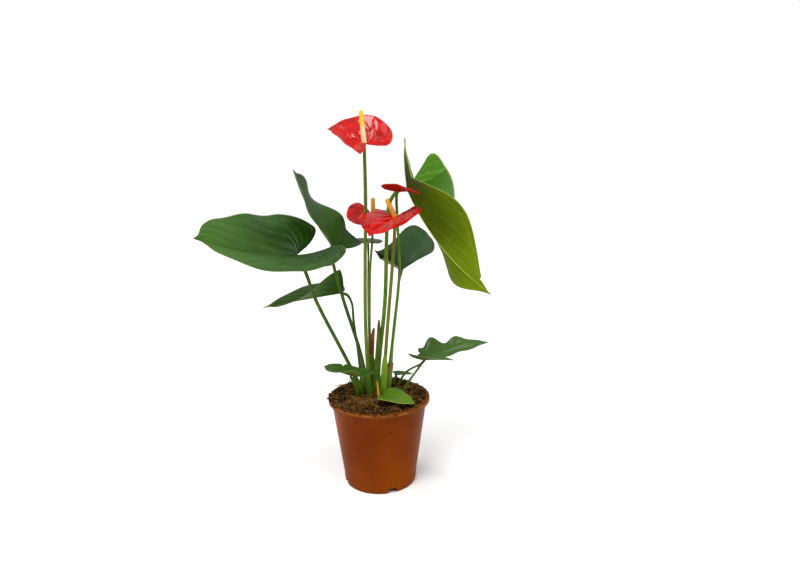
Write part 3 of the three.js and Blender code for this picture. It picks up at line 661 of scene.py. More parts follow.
@dataclass(frozen=True)
class LeafFinish:
    """The living skin of an anthurium leaf: a waxy cuticle over deep green, with soft, broad
    highlights on top, duller underneath, with paler veins that stand out there.

    A width or a place in the pattern is a part of half the blade's width, unless it says otherwise.
    """

    name: str
    top: tuple[str, str] = ("#143c04", "#2a540a")
    under: tuple[str, str] = ("#36540e", "#4a6a18")
    pale: str = "#3c6a20"  # towards the margin, and towards the tip on top, where it is painted light
    vein_top: str = "#4c7230"
    vein_under: str = "#94a850"
    margin: str = "#5a6a30"
    tip: str = "#4c5a1c"
    stain: str = "#5a4410"  # the flush of brown beside the junction, underneath
    gloss: float = 0.29
    gloss_under: float = 0.5
    shine: float = 0.3  # how much the cuticle reflects
    shine_under: float = 0.12
    contrast: float = 1.0  # how plainly the veins show
    quilt: float = 0.6  # how far the blade bulges between its side veins, in millimetres
    veins: Veins = Veins()
    side_vein: float = 0.045  # half its width, as a part of the space between two of them
    vein_share: tuple[float, float] = (0.22, 0.4)  # how plainly they show on top and underneath
    wander: tuple[float, float] = (18.0, 0.5)  # over how many millimetres they wander, and how far
    rib: float = 0.03  # half the midrib's width
    rib_share: tuple[float, float] = (0.4, 0.85)
    collective: tuple[float, float] = (0.88, 0.016)  # place of the vein along the margin, and half its width
    veined: tuple[float, float] = (0.4, 0.75)  # from where along the underside these veins show
    mesh_size: float = 3.2  # of the net of fine veins, in millimetres
    net: tuple[float, float] = (0.1, 0.06)  # half the width of its lines, and how plainly they show
    blotch: float = 30.0  # millimetres
    outer: tuple[Wash, Wash] = (Wash(0.45, 1.0, 0.25), Wash(0.45, 1.0, 0.7))  # lighter margin, top and under
    front: Wash = Wash(0.45, 0.85, 0.85)  # the paler front of the top, a painted light
    lobes: tuple[Wash, Wash] = (Wash(0.6, 0.25, 0.75), Wash(0.24, 0.06, 0.6))  # darker on top, a painted shade; paler under
    stained: tuple[float, float] = (0.3, 0.18)  # middle and reach of the flush, along the blade
    edge: Wash = Wash(0.975, 0.995, 0.8)
    point: Wash = Wash(0.95, 0.99, 0.8)
    pore: float = 0.9  # the grain of the cuticle, in millimetres
    relief: float = 0.2  # how far the veins stand out or lie in, in millimetres

    def ground(self, paint: Painter, under: bool, distance: Any, along: Any) -> bpy.types.Node:
        """Paints the blade between its veins.

        Args:
            paint: The material's painter.
            under: Whether it is the underside.
            distance: The distance from the midrib, 1 at the margin.
            along: The way along the sheet, from 0 to 1.

        Returns:
            The colour: on top darker at the lobes and paler towards the tip, painted shade and light;
                underneath paler at the lobes; and lighter towards the margin.
        """
        dark, light = self.under if under else self.top
        blotches = paint.mottle(self.blotch, 2.0)
        if under:
            # underneath, lighter towards the tip, in blotches
            towards_tip = paint.add("Math.ADD", along, paint.add("Math.MULTIPLY", blotches, 0.3))
            colour = paint.add("Mix.RGBA", paint.add(SMOOTH, towards_tip, 0.5, 1.1), dark, light)
            colour = paint.wash(colour, distance, self.outer[1], light)
            return paint.wash(colour, along, self.lobes[1], self.pale)
        colour = paint.add("Mix.RGBA", paint.add(SMOOTH, blotches, 0.2, 0.8), dark, light)
        # the paler front of the top is painted light; the darker lobes, laid on after it, are painted shade
        paler = paint.add("Math.MAXIMUM", paint.mark(distance, self.outer[0]), paint.mark(along, self.front))
        colour = paint.add("Mix.RGBA", paler, colour, self.pale)
        return paint.wash(colour, along, self.lobes[0], dark)

    def side(self, under: bool) -> bpy.types.Material:
        """Paints one side of the leaf.

        Args:
            under: Whether it is the underside.

        Returns:
            The finish of that side.
        """
        paint = Painter(f"{self.name}_{'underside' if under else 'upper_skin'}")
        across, along = paint.add("SeparateXYZ", paint.add("UVMap", uv_map=SHEET_UV)).outputs[:2]
        distance = paint.add("Math.ABSOLUTE", across)
        colour = self.ground(paint, under, distance, along)
        vein, gloss, shine = (
            (self.vein_under, self.gloss_under, self.shine_under) if under
            else (self.vein_top, self.gloss, self.shine))

        size, reach = self.wander
        wander = paint.add("Math.MULTIPLY", paint.add("Math.SUBTRACT", paint.mottle(size), 0.5), reach)
        line = paint.add("Math.ADD", self.veins.paint_lines(paint, distance, along), wander)
        lateral = paint.add(SMOOTH, paint.add("Math.PINGPONG", line, 0.5), self.side_vein, 0.0)
        midrib = paint.add(SMOOTH, distance, self.rib, 0.0)
        cells = paint.add("TexVoronoi.DISTANCE_TO_EDGE", paint.place, 1 / (self.mesh_size * MM))
        net = paint.add(SMOOTH, cells, self.net[0], 0.0)
        colour = paint.coat(colour, net, self.net[1], vein)
        shown = paint.add("Math.MAXIMUM", lateral, paint.band(distance, *self.collective))
        if under:
            shown = paint.add("Math.MULTIPLY", shown, paint.add(SMOOTH, along, *self.veined))
        colour = paint.coat(colour, shown, self.vein_share[under] * self.contrast, vein)
        rib_share = self.rib_share[under] * (1.0 if under else self.contrast)
        colour = paint.coat(colour, midrib, rib_share, vein)
        if under:
            flush = paint.band(along, *self.stained)
            flush = paint.add("Math.MULTIPLY", flush, paint.add(SMOOTH, distance, 0.9, 0.0))
            colour = paint.coat(colour, flush, 0.6, self.stain)
        colour = paint.wash(colour, distance, self.edge, self.margin)
        colour = paint.wash(colour, along, self.point, self.tip)

        roughness = paint.add("MapRange", paint.mottle(9.0), 0.0, 1.0, gloss * 0.85, gloss * 1.2)
        raised = paint.add("Math.MAXIMUM", lateral, midrib)
        raised = paint.add("Math.MAXIMUM", raised, paint.add("Math.MULTIPLY", net, 0.15))
        raised = raised if under else paint.add("Math.SUBTRACT", 1.0, raised)
        grain = paint.add("Bump", Distance=0.02 * MM, Height=paint.mottle(self.pore, 2.0))
        skin = paint.add("Bump", Distance=self.relief * MM, Height=raised, Normal=grain)
        return paint.finish(colour, roughness, Normal=skin, Specular_IOR_Level=shine)


@dataclass(frozen=True)
class SpatheFinish:
    """The lacquered skin of a red spathe: thick, bright red and very smooth, so that each
    blister carries its own small highlight."""

    name: str = "spathe"
    deep: str = "#a80a07"
    bright: str = "#d6120d"
    # the underside's darker red: partly its own colour, partly painted shade
    under: str = "#96140e"
    tip: str = "#c86a6a"
    gloss: float = 0.14
    gloss_under: float = 0.42
    shine: float = 0.45
    shine_under: float = 0.1
    veins: Veins = Veins(9.0, 0.2)
    side_vein: Wash = Wash(0.08, 0.0, 0.4)  # the deep red along the side veins, painted shade of their creases; by parts of the space between two of them
    point: Wash = Wash(0.93, 1.0, 0.7)

    def side(self, under: bool) -> bpy.types.Material:
        """Paints one side of the spathe.

        Args:
            under: Whether it is the underside.

        Returns:
            The finish of that side.
        """
        paint = Painter(f"{self.name}_{'underside' if under else 'upper_skin'}")
        across, along = paint.add("SeparateXYZ", paint.add("UVMap", uv_map=SHEET_UV)).outputs[:2]
        line = self.veins.paint_lines(paint, paint.add("Math.ABSOLUTE", across), along)
        patchy = paint.add(SMOOTH, paint.mottle(9.0), 0.3, 0.7)
        colour = paint.add("Mix.RGBA", patchy, self.deep, self.bright)
        # darker along the side veins: painted shade in their creases
        colour = paint.wash(colour, paint.add("Math.PINGPONG", line, 0.5), self.side_vein, self.deep)
        colour = paint.wash(colour, along, self.point, self.tip)
        if under:
            # the underside darkened: partly its own colour, partly painted shade
            colour = paint.add("Mix.RGBA", 0.6, colour, self.under)
        skin = paint.add("Bump", Distance=0.06 * MM, Height=paint.mottle(4.5, 1.0))
        return paint.finish(colour, self.gloss_under if under else self.gloss, Normal=skin,
                            Specular_IOR_Level=self.shine_under if under else self.shine)


@dataclass(frozen=True)
class SpadixFinish:
    """The dense florets of a spadix: matt and fleshy, cream at the foot where they have opened
    and golden above, where they are still closed."""

    name: str
    cream: str = "#f6dcae"
    gold: str = "#fbc912"
    pits: str = "#d9962a"
    turn: tuple[float, float] = (0.42, 0.62)  # where along it the cream ends and the gold is full
    bud: float = 0.9  # the grain of a floret's own parts, in millimetres
    pit: float = 0.12  # how deep the pits between them are, in millimetres

    def material(self) -> bpy.types.Material:
        """Paints the spadix, turning from cream to gold along it.

        Returns:
            The finish.
        """
        paint = Painter(self.name)
        along = paint.add("SeparateXYZ", paint.add("UVMap", uv_map=SHEET_UV)).outputs["Y"]
        turned = paint.add(SMOOTH, along, *self.turn)
        cells = paint.add("TexVoronoi", paint.place, 1 / (self.bud * MM))
        colour = paint.coat(paint.add("Mix.RGBA", turned, self.cream, self.gold), cells, 0.25, self.pits)
        raised = paint.add("Math.SUBTRACT", 1.0, cells)
        return paint.finish(colour, 0.5, Normal=paint.add("Bump", Distance=self.pit * MM, Height=raised))


@dataclass(frozen=True)
class StemFinish:
    """The skin of a fleshy stem or the fibres of a dry sheath: satin, with fine lengthwise
    streaks, patches of a redder or browner flush, and a foot of its own colour."""

    name: str
    dark: str
    light: str
    tint: str
    gloss: float = 0.45
    foot: str = "#446408"
    tip: tuple[str, float, float] | None = None  # a dried tip: its colour, and where it begins and is full
    foot_wash: Wash = Wash(190.0, 112.0, 0.6)
    streak: float = 1.2  # width of a streak
    streak_length: float = 22.0  # in widths

    def material(self) -> bpy.types.Material:
        """Paints the stem, with streaks that run up it and a foot and a tip of other colours.

        Returns:
            The finish.
        """
        paint = Painter(self.name)
        height = paint.add("SeparateXYZ", paint.place).outputs["Z"]
        streaks = paint.mottle(self.streak, stretch=(1.0, 1.0, self.streak_length))
        streaky = paint.add(SMOOTH, streaks, 0.35, 0.65)
        flushed = paint.add(SMOOTH, paint.mottle(30.0, 2.0), 0.5, 0.75)
        colour = paint.add("Mix.RGBA", streaky, self.dark, self.light)
        colour = paint.add("Mix.RGBA", flushed, colour, self.tint)
        colour = paint.wash(colour, height, self.foot_wash.in_metres(), self.foot)
        if self.tip:
            dried, begun, full = self.tip
            tip = paint.add(SMOOTH, height, begun * MM, full * MM)
            colour = paint.add("Mix.RGBA", tip, colour, dried)
        fibres = paint.add("Bump", Distance=0.1 * MM, Height=streaks)
        return paint.finish(colour, self.gloss, Normal=fibres, Specular_IOR_Level=0.18)


@dataclass(frozen=True)
class PotFinish:
    """Injection-moulded polypropylene: thin, satin and slightly wavy, in brown terracotta, with
    flow marks, a painted highlight on the rim's edge, dirt at the rim and foot, and specks of soil."""

    shade: str = "#682902"
    body: str = "#803a03"
    rim: str = "#6a3c16"
    rim_highlight: str = "#ac662e"  # painted highlight along the rim's rounded edge
    dirt: str = "#2a1a10"
    rim_wash: Wash = Wash(98.0, 100.0, 0.65)
    # height and reach of the painted highlight along the rim's edge
    rim_highlight_height: float = 102.2
    rim_highlight_reach: float = 1.6
    dust_under_rim: Wash = Wash(88.0, 100.0, 0.7)
    dust_on_foot: Wash = Wash(30.0, 0.0, 0.3)
    speck_spacing: float = 8.0
    gloss: tuple[float, float] = (0.3, 0.4)

    def material(self) -> bpy.types.Material:
        """Paints the pot, with dirt gathered under the rim and at the foot, and a painted highlight on the
        rim's edge.

        Returns:
            The finish.
        """
        paint = Painter("pot_polypropylene")
        height = paint.add("SeparateXYZ", paint.place).outputs["Z"]
        flow = paint.add(SMOOTH, paint.mottle(60.0, 1.0), 0.25, 0.75)
        colour = paint.add("Mix.RGBA", flow, self.shade, self.body)
        colour = paint.wash(colour, height, self.rim_wash.in_metres(), self.rim)
        # a painted highlight along the rim's rounded edge, broken into patches
        rim_highlight_band = paint.band(height, self.rim_highlight_height * MM, self.rim_highlight_reach * MM)
        highlight_patches = paint.add(SMOOTH, paint.mottle(7.0), 0.3, 0.7)
        colour = paint.coat(colour, paint.add("Math.MULTIPLY", rim_highlight_band, highlight_patches), 0.75, self.rim_highlight)

        specks = paint.add("TexVoronoi", paint.place, 1 / (self.speck_spacing * MM))
        chance = paint.add(SMOOTH, specks.outputs["Color"], 0.55, 0.57)
        dot = paint.add(SMOOTH, specks, 0.28, 0.0)
        speck = paint.add("Math.MULTIPLY", dot, chance)
        smear = paint.add(SMOOTH, paint.mottle(4.0, 5.0, roughness=0.7), 0.58, 0.7)
        low = paint.mark(height, self.dust_on_foot.in_metres())
        high = paint.mark(height, self.dust_under_rim.in_metres())
        lodged = paint.add("Math.MAXIMUM", low, high)
        dust = paint.add("Math.MULTIPLY", smear, lodged)
        colour = paint.add("Mix.RGBA", paint.add("Math.MAXIMUM", speck, dust), colour, self.dirt)

        roughness = paint.add("MapRange", paint.mottle(14.0), 0.0, 1.0, *self.gloss)
        wavy = paint.add("Bump", Distance=0.15 * MM, Height=paint.mottle(30.0, 1.0))
        grit = paint.add("Bump", Distance=0.015 * MM, Height=paint.mottle(0.7, 2.0), Normal=wavy)
        return paint.finish(colour, roughness, Normal=grit, Specular_IOR_Level=0.03)


@dataclass(frozen=True)
class EarthFinish:
    """Moist dark peat: matt and crumbly, painted almost black in its hollows as painted shade, with brown
    fibres.
    """

    name: str
    # dark is the painted shade in the hollows; light is the peat's own colour
    dark: str = "#0f0803"
    light: str = "#38260c"
    fibre: str = "#74542a"
    fibres: float = 0.35
    crumb: float = 3.0  # millimetres
    grain: float = 0.8  # millimetres

    def material(self) -> bpy.types.Material:
        """Paints the peat, grainy at the size of crumbs and of grains, with painted shade in its hollows.

        Returns:
            The finish.
        """
        paint = Painter(self.name)
        crumbs = paint.mottle(self.crumb, 6.0, roughness=0.65)
        # the low places of the crumbs' bumps are painted dark: painted shade in the hollows
        shaded_hollows = paint.add(SMOOTH, crumbs, 0.35, 0.62)
        strands = paint.add(SMOOTH, paint.mottle(2.4, 2.0, (0.25, 2.5, 1.0)), 0.6, 0.7)
        colour = paint.add("Mix.RGBA", shaded_hollows, self.dark, self.light)
        colour = paint.coat(colour, strands, self.fibres, self.fibre)
        coarse = paint.add("Bump", Distance=1.2 * MM, Height=crumbs)
        fine = paint.add("Bump", Distance=0.3 * MM, Height=paint.mottle(self.grain), Normal=coarse)
        return paint.finish(colour, 0.92, Normal=fine, Specular_IOR_Level=0.12)


# ---------------------------------------------------------------- leaves and blooms

# The margin round a lobe, as parts of the lobe's length and of the half's width
CLOSED_LOBE = np.array([[-0.55, 0.1], [-0.9, 0.24], [-1, 0.46], [-0.82, 0.76]])
SPREAD_LOBE = np.array([[-0.5, 0.24], [-0.86, 0.5], [-1, 0.72], [-0.8, 0.88]])
GAPING_LOBE = np.array([[-0.08, 0.4], [-0.55, 0.58], [-1, 0.72], [-0.86, 0.9]])
SHOULDER = np.array([[-0.25, 0.97], [0.14, 1]])

# The margin from there to the tip, as parts of the blade's length and of the half's width
SLENDER_TIP = np.array([[0.42, 0.84], [0.66, 0.56], [0.84, 0.27], [0.93, 0.09]])
BLUNT_TIP = np.array([[0.42, 0.95], [0.68, 0.78], [0.87, 0.46], [0.945, 0.16]])


@dataclass
class BladeForm:
    """The curved surface of a blade, folded and curled about its midrib.

    The grid's lines run from the midrib to the margin, and lean back round the lobes.
    """

    blade: Blade
    first_rib: float = 0.06  # where along the outline the first line meets the margin
    roots_from: float = 0.1  # how far along the blade the lines start to part along the midrib
    crowding: float = 1.3  # how much closer the grid's points stand beside the midrib
    tear_length: float = 0.025  # how soon a torn margin comes back, as a part of the outline
    curl_loss: float = 0.1  # how much less the margin curls at the tip
    least_curl: float = 1e-3  # radians; a smaller curl is taken for this
    midrib_steps: int = 240

    def frames(self, distance: np.ndarray) -> tuple[np.ndarray, np.ndarray, np.ndarray]:
        """Finds the midrib's directions at distances from the junction.

        Args:
            distance: Millimetres along the midrib.

        Returns:
            Rows for along, across (to the right) and up.
        """
        blade = self.blade
        part = np.clip(distance / blade.length, 0, 1)
        heading = np.radians(blade.heading + blade.swing * part)
        pitch = np.radians(blade.pitch + blade.bend * part)
        roll = np.radians(blade.roll + blade.twist * part)[:, None]
        level_part = np.cos(pitch)
        along = np.column_stack([level_part * np.cos(heading), level_part * np.sin(heading), np.sin(pitch)])
        level = np.column_stack([np.sin(heading), -np.cos(heading), np.zeros_like(heading)])
        raised = np.cross(level, along)
        across = level * np.cos(roll) - raised * np.sin(roll)
        return along, across, level * np.sin(roll) + raised * np.cos(roll)

    def midrib(self, distance: np.ndarray) -> np.ndarray:
        """Finds the midrib's points; before the junction, the line runs straight.

        Args:
            distance: Millimetres along the midrib.

        Returns:
            A row for each.
        """
        edges = np.linspace(0, self.blade.length, self.midrib_steps + 1)
        along = self.frames((edges[:-1] + edges[1:]) / 2)[0]
        line = np.vstack([np.zeros(3), np.cumsum(along * self.blade.length / self.midrib_steps, axis=0)])
        found = np.column_stack([np.interp(distance, edges, line[:, i]) for i in range(3)])
        return np.array(self.blade.at) + found + np.minimum(distance, 0)[:, None] * self.frames(edges[:1])[0]

    def outline(self, half: Half, along: np.ndarray) -> np.ndarray:
        """Finds points of a half's outline.

        Args:
            half: The half.
            along: Parts of the way along its margin, from the junction round the lobe to the tip.

        Returns:
            A row for each: parts of its length, or lobe if negative, and of its width.
        """
        if half.spread > 1:
            opened = (GAPING_LOBE - SPREAD_LOBE) * (half.spread - 1)
        else:
            opened = (SPREAD_LOBE - CLOSED_LOBE) * (half.spread - 1)
        front = SLENDER_TIP + (BLUNT_TIP - SLENDER_TIP) * self.blade.fullness
        flat = catmull_rom(np.vstack([[[0, 0]], SPREAD_LOBE + opened, SHOULDER, front, [[1, 0]]]), along)
        flat[:, 1] = np.maximum(flat[:, 1], 0)
        if half.tear:
            place, depth = half.tear
            past = np.maximum(along - place, 0) / self.tear_length
            flat[:, 1] *= 1 - depth * np.exp(-past) * (along > place)
        return flat

    def flat(self, across: np.ndarray, along: np.ndarray) -> tuple[np.ndarray, np.ndarray, np.ndarray]:
        """Finds where points of the grid lie on the flat blade.

        Args:
            across: -1 at the left margin, 0 at the midrib, 1 at the right margin.
            along: 0 at the lobes, 1 at the tip.

        Returns:
            Millimetres along the midrib and out from it, and half the blade's width there.
        """
        blade = self.blade
        part = self.first_rib + (1 - self.first_rib) * along
        reach = np.abs(across) ** self.crowding
        left, right = self.outline(blade.left, part), self.outline(blade.right, part)
        root = blade.length * np.maximum(0, (left[:, 0] - self.roots_from) / (1 - self.roots_from))
        on_left = across < 0
        edge = np.where(on_left[:, None], left, right)
        lobe = np.where(on_left, blade.left.lobe, blade.right.lobe)
        width = np.where(on_left, blade.left.width, blade.right.width)
        margin = edge[:, 0] * np.where(edge[:, 0] < 0, lobe, blade.length)
        return root + (margin - root) * reach, edge[:, 1] * width * reach, edge[:, 1] * width

    def place(self, across: np.ndarray, along: np.ndarray) -> np.ndarray:
        """Finds the places of points of the grid on the folded and curled blade.

        Args:
            across: -1 at the left margin, 0 at the midrib, 1 at the right margin.
            along: 0 at the lobes, 1 at the tip.

        Returns:
            A row for each, in millimetres.
        """
        blade = self.blade
        x, y, _ = self.flat(across, along)
        on_left = across < 0

        def own(name: str) -> np.ndarray:
            """A size of the half that each point is on."""
            return np.where(on_left, getattr(blade.left, name), getattr(blade.right, name))

        part = np.clip(x / blade.length, 0, 1)
        fold = np.radians(own("fold") + (own("fold_tip") - own("fold")) * part)
        curl = np.radians(own("curl") * (1 - self.curl_loss * part))
        curl = np.where(np.abs(curl) < self.least_curl, self.least_curl, curl)
        turn = curl * y / own("width")
        out = own("width") / curl * (np.sin(fold + turn) - np.sin(fold))
        rise = -own("width") / curl * (np.cos(fold + turn) - np.cos(fold))
        back = np.maximum(0, -x / own("lobe"))
        height, waves, phase = blade.ruffle
        outward = y / max(blade.left.width, blade.right.width)
        wave = height * outward**2 * np.sin(2 * np.pi * waves * part + math.radians(phase))
        _, sideways, up = self.frames(x)
        lift = rise + own("rise") * back**2 + wave
        return self.midrib(x) + sideways * (np.where(on_left, -1, 1) * out)[:, None] + up * lift[:, None]

    def junction(self, height: float) -> np.ndarray:
        """The point at a height over the junction, or under it if negative."""
        return np.array(self.blade.at) + self.frames(np.zeros(1))[2][0] * height


@dataclass
class Stalk:
    """The stem of a leaf or a bloom, from the soil to its blade."""

    blade: Blade
    finish: StemFinish
    rooted: float = 103.0  # height of its foot
    flare: float = 65.0  # how far up its foot is thicker
    taper: float = 1.2  # how thick its foot is without the flare, as a part of its top
    knuckle: float = 0.0  # how much thicker a leaf's stem is where it turns into its blade
    knuckle_at: float = 6.0  # how far below the blade that is
    knuckle_reach: float = 7.0
    sunk: float = 0.25  # how far its end lies under the middle of the blade
    neck_length: float = 2.2
    neck_end: float = 0.6  # how much of that length is left off, so that its end isn't too thin
    neck_least: float = 0.25  # its thinnest, as a part

    def route(self) -> np.ndarray:
        """Finds the points of the stem's middle line.

        Returns:
            A row for each, in millimetres.
        """
        bends = list(reversed(self.blade.stem.bends))
        points = [(*self.blade.stem.base, self.rooted), *bends, BladeForm(self.blade).junction(-self.sunk)]
        return route_curve(np.array(points, dtype=float))

    def radii(self, route: np.ndarray) -> np.ndarray:
        """Finds the stem's radius at each point of its route.

        Args:
            route: The points of its middle line, from the foot.

        Returns:
            The radii, in millimetres.
        """
        travelled = np.concatenate([[0.0], np.cumsum(np.linalg.norm(np.diff(route, axis=0), axis=1))])
        base, top = self.blade.stem.radii
        slender = top * (self.taper + (1 - self.taper) * travelled / travelled[-1])
        thick = slender + (base - slender) * np.maximum(0, 1 - travelled / self.flare) ** 2
        left = travelled[-1] - travelled
        swollen = thick * (1 + self.knuckle * np.exp(-(((left - self.knuckle_at) / self.knuckle_reach) ** 2)))
        return swollen * np.clip((left + self.neck_end) / self.neck_length, self.neck_least, 1)

    def build(self, kind: str) -> None:
        """Models the stem and sets it in the place of its node.

        Args:
            kind: What the stem is called: petiole or peduncle.
        """
        route = self.route()
        piece = rod(f"{self.blade.name}_{kind}_skin", route, self.radii(route), self.finish.material())
        install(piece, "stem", f"{self.blade.name}_{kind}")


@dataclass
class Leaf:
    """A heart-shaped leaf: its blade, quilted between the veins, and its petiole."""

    blade: Blade
    finish: LeafFinish
    petiole: StemFinish
    thickness: float = 0.55
    groove: float = 0.5  # how deep the midrib lies, and stands out underneath
    groove_width: float = 1.3
    ripple: float = 0.5  # height of the small waves of the margin
    ripples: float = 31.0
    full_length: float = 100.0  # length from which all of this has its full height
    flat_width: float = 12.0  # where the half is narrower, it bulges less
    knuckle: float = 0.3
    large: float = 50.0  # a longer blade has the finer grid
    fine: tuple[int, int] = (72, 112)
    coarse: tuple[int, int] = (40, 64)

    def relief(self, across: np.ndarray, along: np.ndarray) -> np.ndarray:
        """Finds how far points of the blade stand off its plain surface.

        Args:
            across: -1 at the left margin, 0 at the midrib, 1 at the right margin.
            along: 0 at the lobes, 1 at the tip.

        Returns:
            Millimetres for each.
        """
        _, y, width = BladeForm(self.blade).flat(across, along)
        lines = self.finish.veins.lines(across, along)
        distance = np.abs(across)
        size = min(1.0, self.blade.length / self.full_length)
        calm = np.clip(width / self.flat_width, 0, 1) * (1 - distance**6) * np.clip(distance * 5, 0, 1)
        bulge = self.finish.quilt * size * calm * (np.abs(np.sin(np.pi * lines)) ** 0.7 - 0.6)
        wave = self.ripple * size * distance**3 * np.sin(along * self.ripples + 2 * np.sign(across))
        return bulge + wave - self.groove * size * np.exp(-((y / self.groove_width) ** 2))

    def build(self) -> None:
        """Models and dresses the blade and its petiole."""
        name = self.blade.name
        faces = self.fine if self.blade.length > self.large else self.coarse
        lamina = sheet(f"{name}_lamina", faces, BladeForm(self.blade).place, self.relief)
        close_sheet(lamina, self.thickness, self.finish.side(False), self.finish.side(True))
        install(lamina, "leaf", f"{name}_blade")
        Stalk(self.blade, self.petiole, knuckle=self.knuckle).build("petiole")


@dataclass
class Bloom:
    """A bloom: its blistered spathe, the spadix that stands on it, and its peduncle."""

    blade: Blade
    finish: SpatheFinish
    florets: SpadixFinish
    peduncle: StemFinish
    thickness: float = 0.7
    blister: float = 1.2  # height of the blisters
    blister_rim: float = 0.6  # how wide their sloping sides are, as a part of a cell
    cells: tuple[float, float] = (1.2, 1.9)  # blisters between two veins, and from midrib to margin
    groove: float = 0.4  # how deep the midrib lies
    groove_width: float = 1.0
    ripple: float = 0.5  # height of the small waves of the margin
    ripples: float = 37.0
    full_length: float = 40.0  # length from which all of this has its full height
    flat_width: float = 9.0  # where the half is narrower, it bulges less
    faces: tuple[int, int] = (96, 96)
    floret: float = 0.2  # height of the florets
    floret_pitch: float = 1.7
    florets_around: int = 8
    spadix_sunk: float = 0.1  # how far its foot lies under the middle of the spathe
    spadix_faces: tuple[int, int] = (64, 120)

    def relief(self, across: np.ndarray, along: np.ndarray) -> np.ndarray:
        """Finds how far points of the spathe stand off its plain surface: a net of blisters.

        Args:
            across: -1 at the left margin, 0 at the midrib, 1 at the right margin.
            along: 0 at the lobes, 1 at the tip.

        Returns:
            Millimetres for each.
        """
        _, y, width = BladeForm(self.blade).flat(across, along)
        lines = self.finish.veins.lines(across, along) * self.cells[0]
        distance = np.abs(across)
        size = min(1.0, self.blade.length / self.full_length)
        heights = np.empty(len(across))
        for i, (line, reach, side) in enumerate(zip(lines, distance * self.cells[1], np.sign(across))):
            first, second = noise.voronoi((line, reach, 7.0 * side))[0][:2]
            heights[i] = min(1.0, (second - first) / self.blister_rim)
        smooth = heights * heights * (3 - 2 * heights)
        calm = np.clip(width / self.flat_width, 0, 1) * (1 - distance**8)
        wave = self.ripple * size * distance**4 * np.sin(along * self.ripples)
        groove = self.groove * np.exp(-((y / self.groove_width) ** 2))
        return self.blister * size * calm * (smooth - 0.5) + wave - groove

    def build_spadix(self) -> None:
        """Models the spadix: a tapered rod with spirals of small florets and a round top."""
        foot = BladeForm(self.blade).junction(-self.spadix_sunk)
        lean = np.array(self.blade.spadix.lean, dtype=float)
        length = float(np.linalg.norm(lean))
        axis = lean / length
        side = np.cross(axis, (0.0, 1.0, 0.0))
        side /= np.linalg.norm(side)
        front = np.cross(axis, side)
        low, high = self.blade.spadix.radii
        rows = round(length / self.floret_pitch)

        def place(across: np.ndarray, along: np.ndarray) -> np.ndarray:
            """Finds the places of points of the spadix.

            Args:
                across: Half turns round it, from -1 to 1.
                along: 0 at its foot, 1 at its top.

            Returns:
                A row for each, in millimetres.
            """
            angle = np.pi * across
            dome = np.sqrt(np.clip(1 - np.clip((along - 0.93) / 0.07, 0, 1) ** 2, 0, 1))
            root = np.sqrt(np.clip(along / 0.02, 0, 1))
            spiral = np.pi * rows * along
            turns = angle * self.florets_around / 2
            florets = self.floret * np.abs(np.cos(turns + spiral) * np.cos(turns - spiral)) ** 0.6
            radius = (low + (high - low) * along + florets) * dome * root
            out = side * (radius * np.cos(angle))[:, None] + front * (radius * np.sin(angle))[:, None]
            return foot + axis * (length * along)[:, None] + out

        piece = sheet(f"{self.blade.name}_spadix_florets", self.spadix_faces, place)
        close_round(piece, self.florets.material())
        install(piece, "spadix", f"{self.blade.name}_spadix")

    def build(self) -> None:
        """Models and dresses the spathe, the spadix and the peduncle."""
        name = self.blade.name
        spathe = sheet(f"{name}_spathe_skin", self.faces, BladeForm(self.blade).place, self.relief)
        close_sheet(spathe, self.thickness, self.finish.side(False), self.finish.side(True))
        install(spathe, "spathe", f"{name}_spathe")
        self.build_spadix()
        Stalk(self.blade, self.peduncle).build("peduncle")


# ---------------------------------------------------------------- sheaths at the stems' feet


@dataclass
class Sheath:
    """A papery or fleshy sheath wrapped round a stem's foot, ending in a point.

    foot, tip: heights. facing: azimuth of its middle. spread: half its width as an angle round
    the stem. loose: how far its tip stands off the stem. frayed: how ragged its tip is.
    gap: how far it stands off the stem at its foot. tip_width: how wide its tip is, as a part of its foot.
    """

    name: str
    around: str
    foot: float
    tip: float
    facing: float
    spread: float
    loose: float
    finish: StemFinish
    slot: str = "stem"
    frayed: float = 0.0
    gap: float = 0.6
    tip_width: float = 0.12
    fray_height: float = 6.0
    crease: float = 0.25  # height of its lengthwise creases
    thickness: float = 0.5
    faces: tuple[int, int] = (24, 60)

    def build(self) -> None:
        """Models and dresses the sheath."""
        blade = next(blade for blade in (*LEAVES, *BLOOMS) if blade.name == self.around)
        stalk = Stalk(blade, self.finish)
        route = stalk.route()
        radii = stalk.radii(route)
        rising = np.concatenate([[True], np.diff(route[:, 2]) > 0])

        def place(across: np.ndarray, along: np.ndarray) -> np.ndarray:
            """Finds the places of points of the sheath.

            Args:
                across: -1 and 1 at its margins, round the stem.
                along: 0 at its foot, 1 at its tip.

            Returns:
                A row for each, in millimetres.
            """
            ragged = self.frayed * along**6 * np.sin(9 * across) * self.fray_height
            height = self.foot + (self.tip - self.foot) * along + ragged
            x, y = (np.interp(height, route[rising, 2], route[rising, i]) for i in (0, 1))
            snug = np.interp(height, route[rising, 2], radii[rising]) + self.gap
            narrowing = np.sqrt(np.clip(1 - (1 - self.tip_width**2) * along**2, 0, 1))
            angle = math.radians(self.facing) + math.radians(self.spread) * narrowing * across
            crease = self.crease * np.cos(across * 14) * along * (1 - along)
            radius = snug + self.loose * along + crease
            return np.column_stack([x + radius * np.cos(angle), y + radius * np.sin(angle), height])

        piece = sheet(f"{self.name}_skin", self.faces, place)
        close_sheet(piece, self.thickness, self.finish.material())
        nodes = [self.name] if self.name.startswith("sheath_") else []  # a leaf base has no solid of its own
        install(piece, self.slot, *nodes)


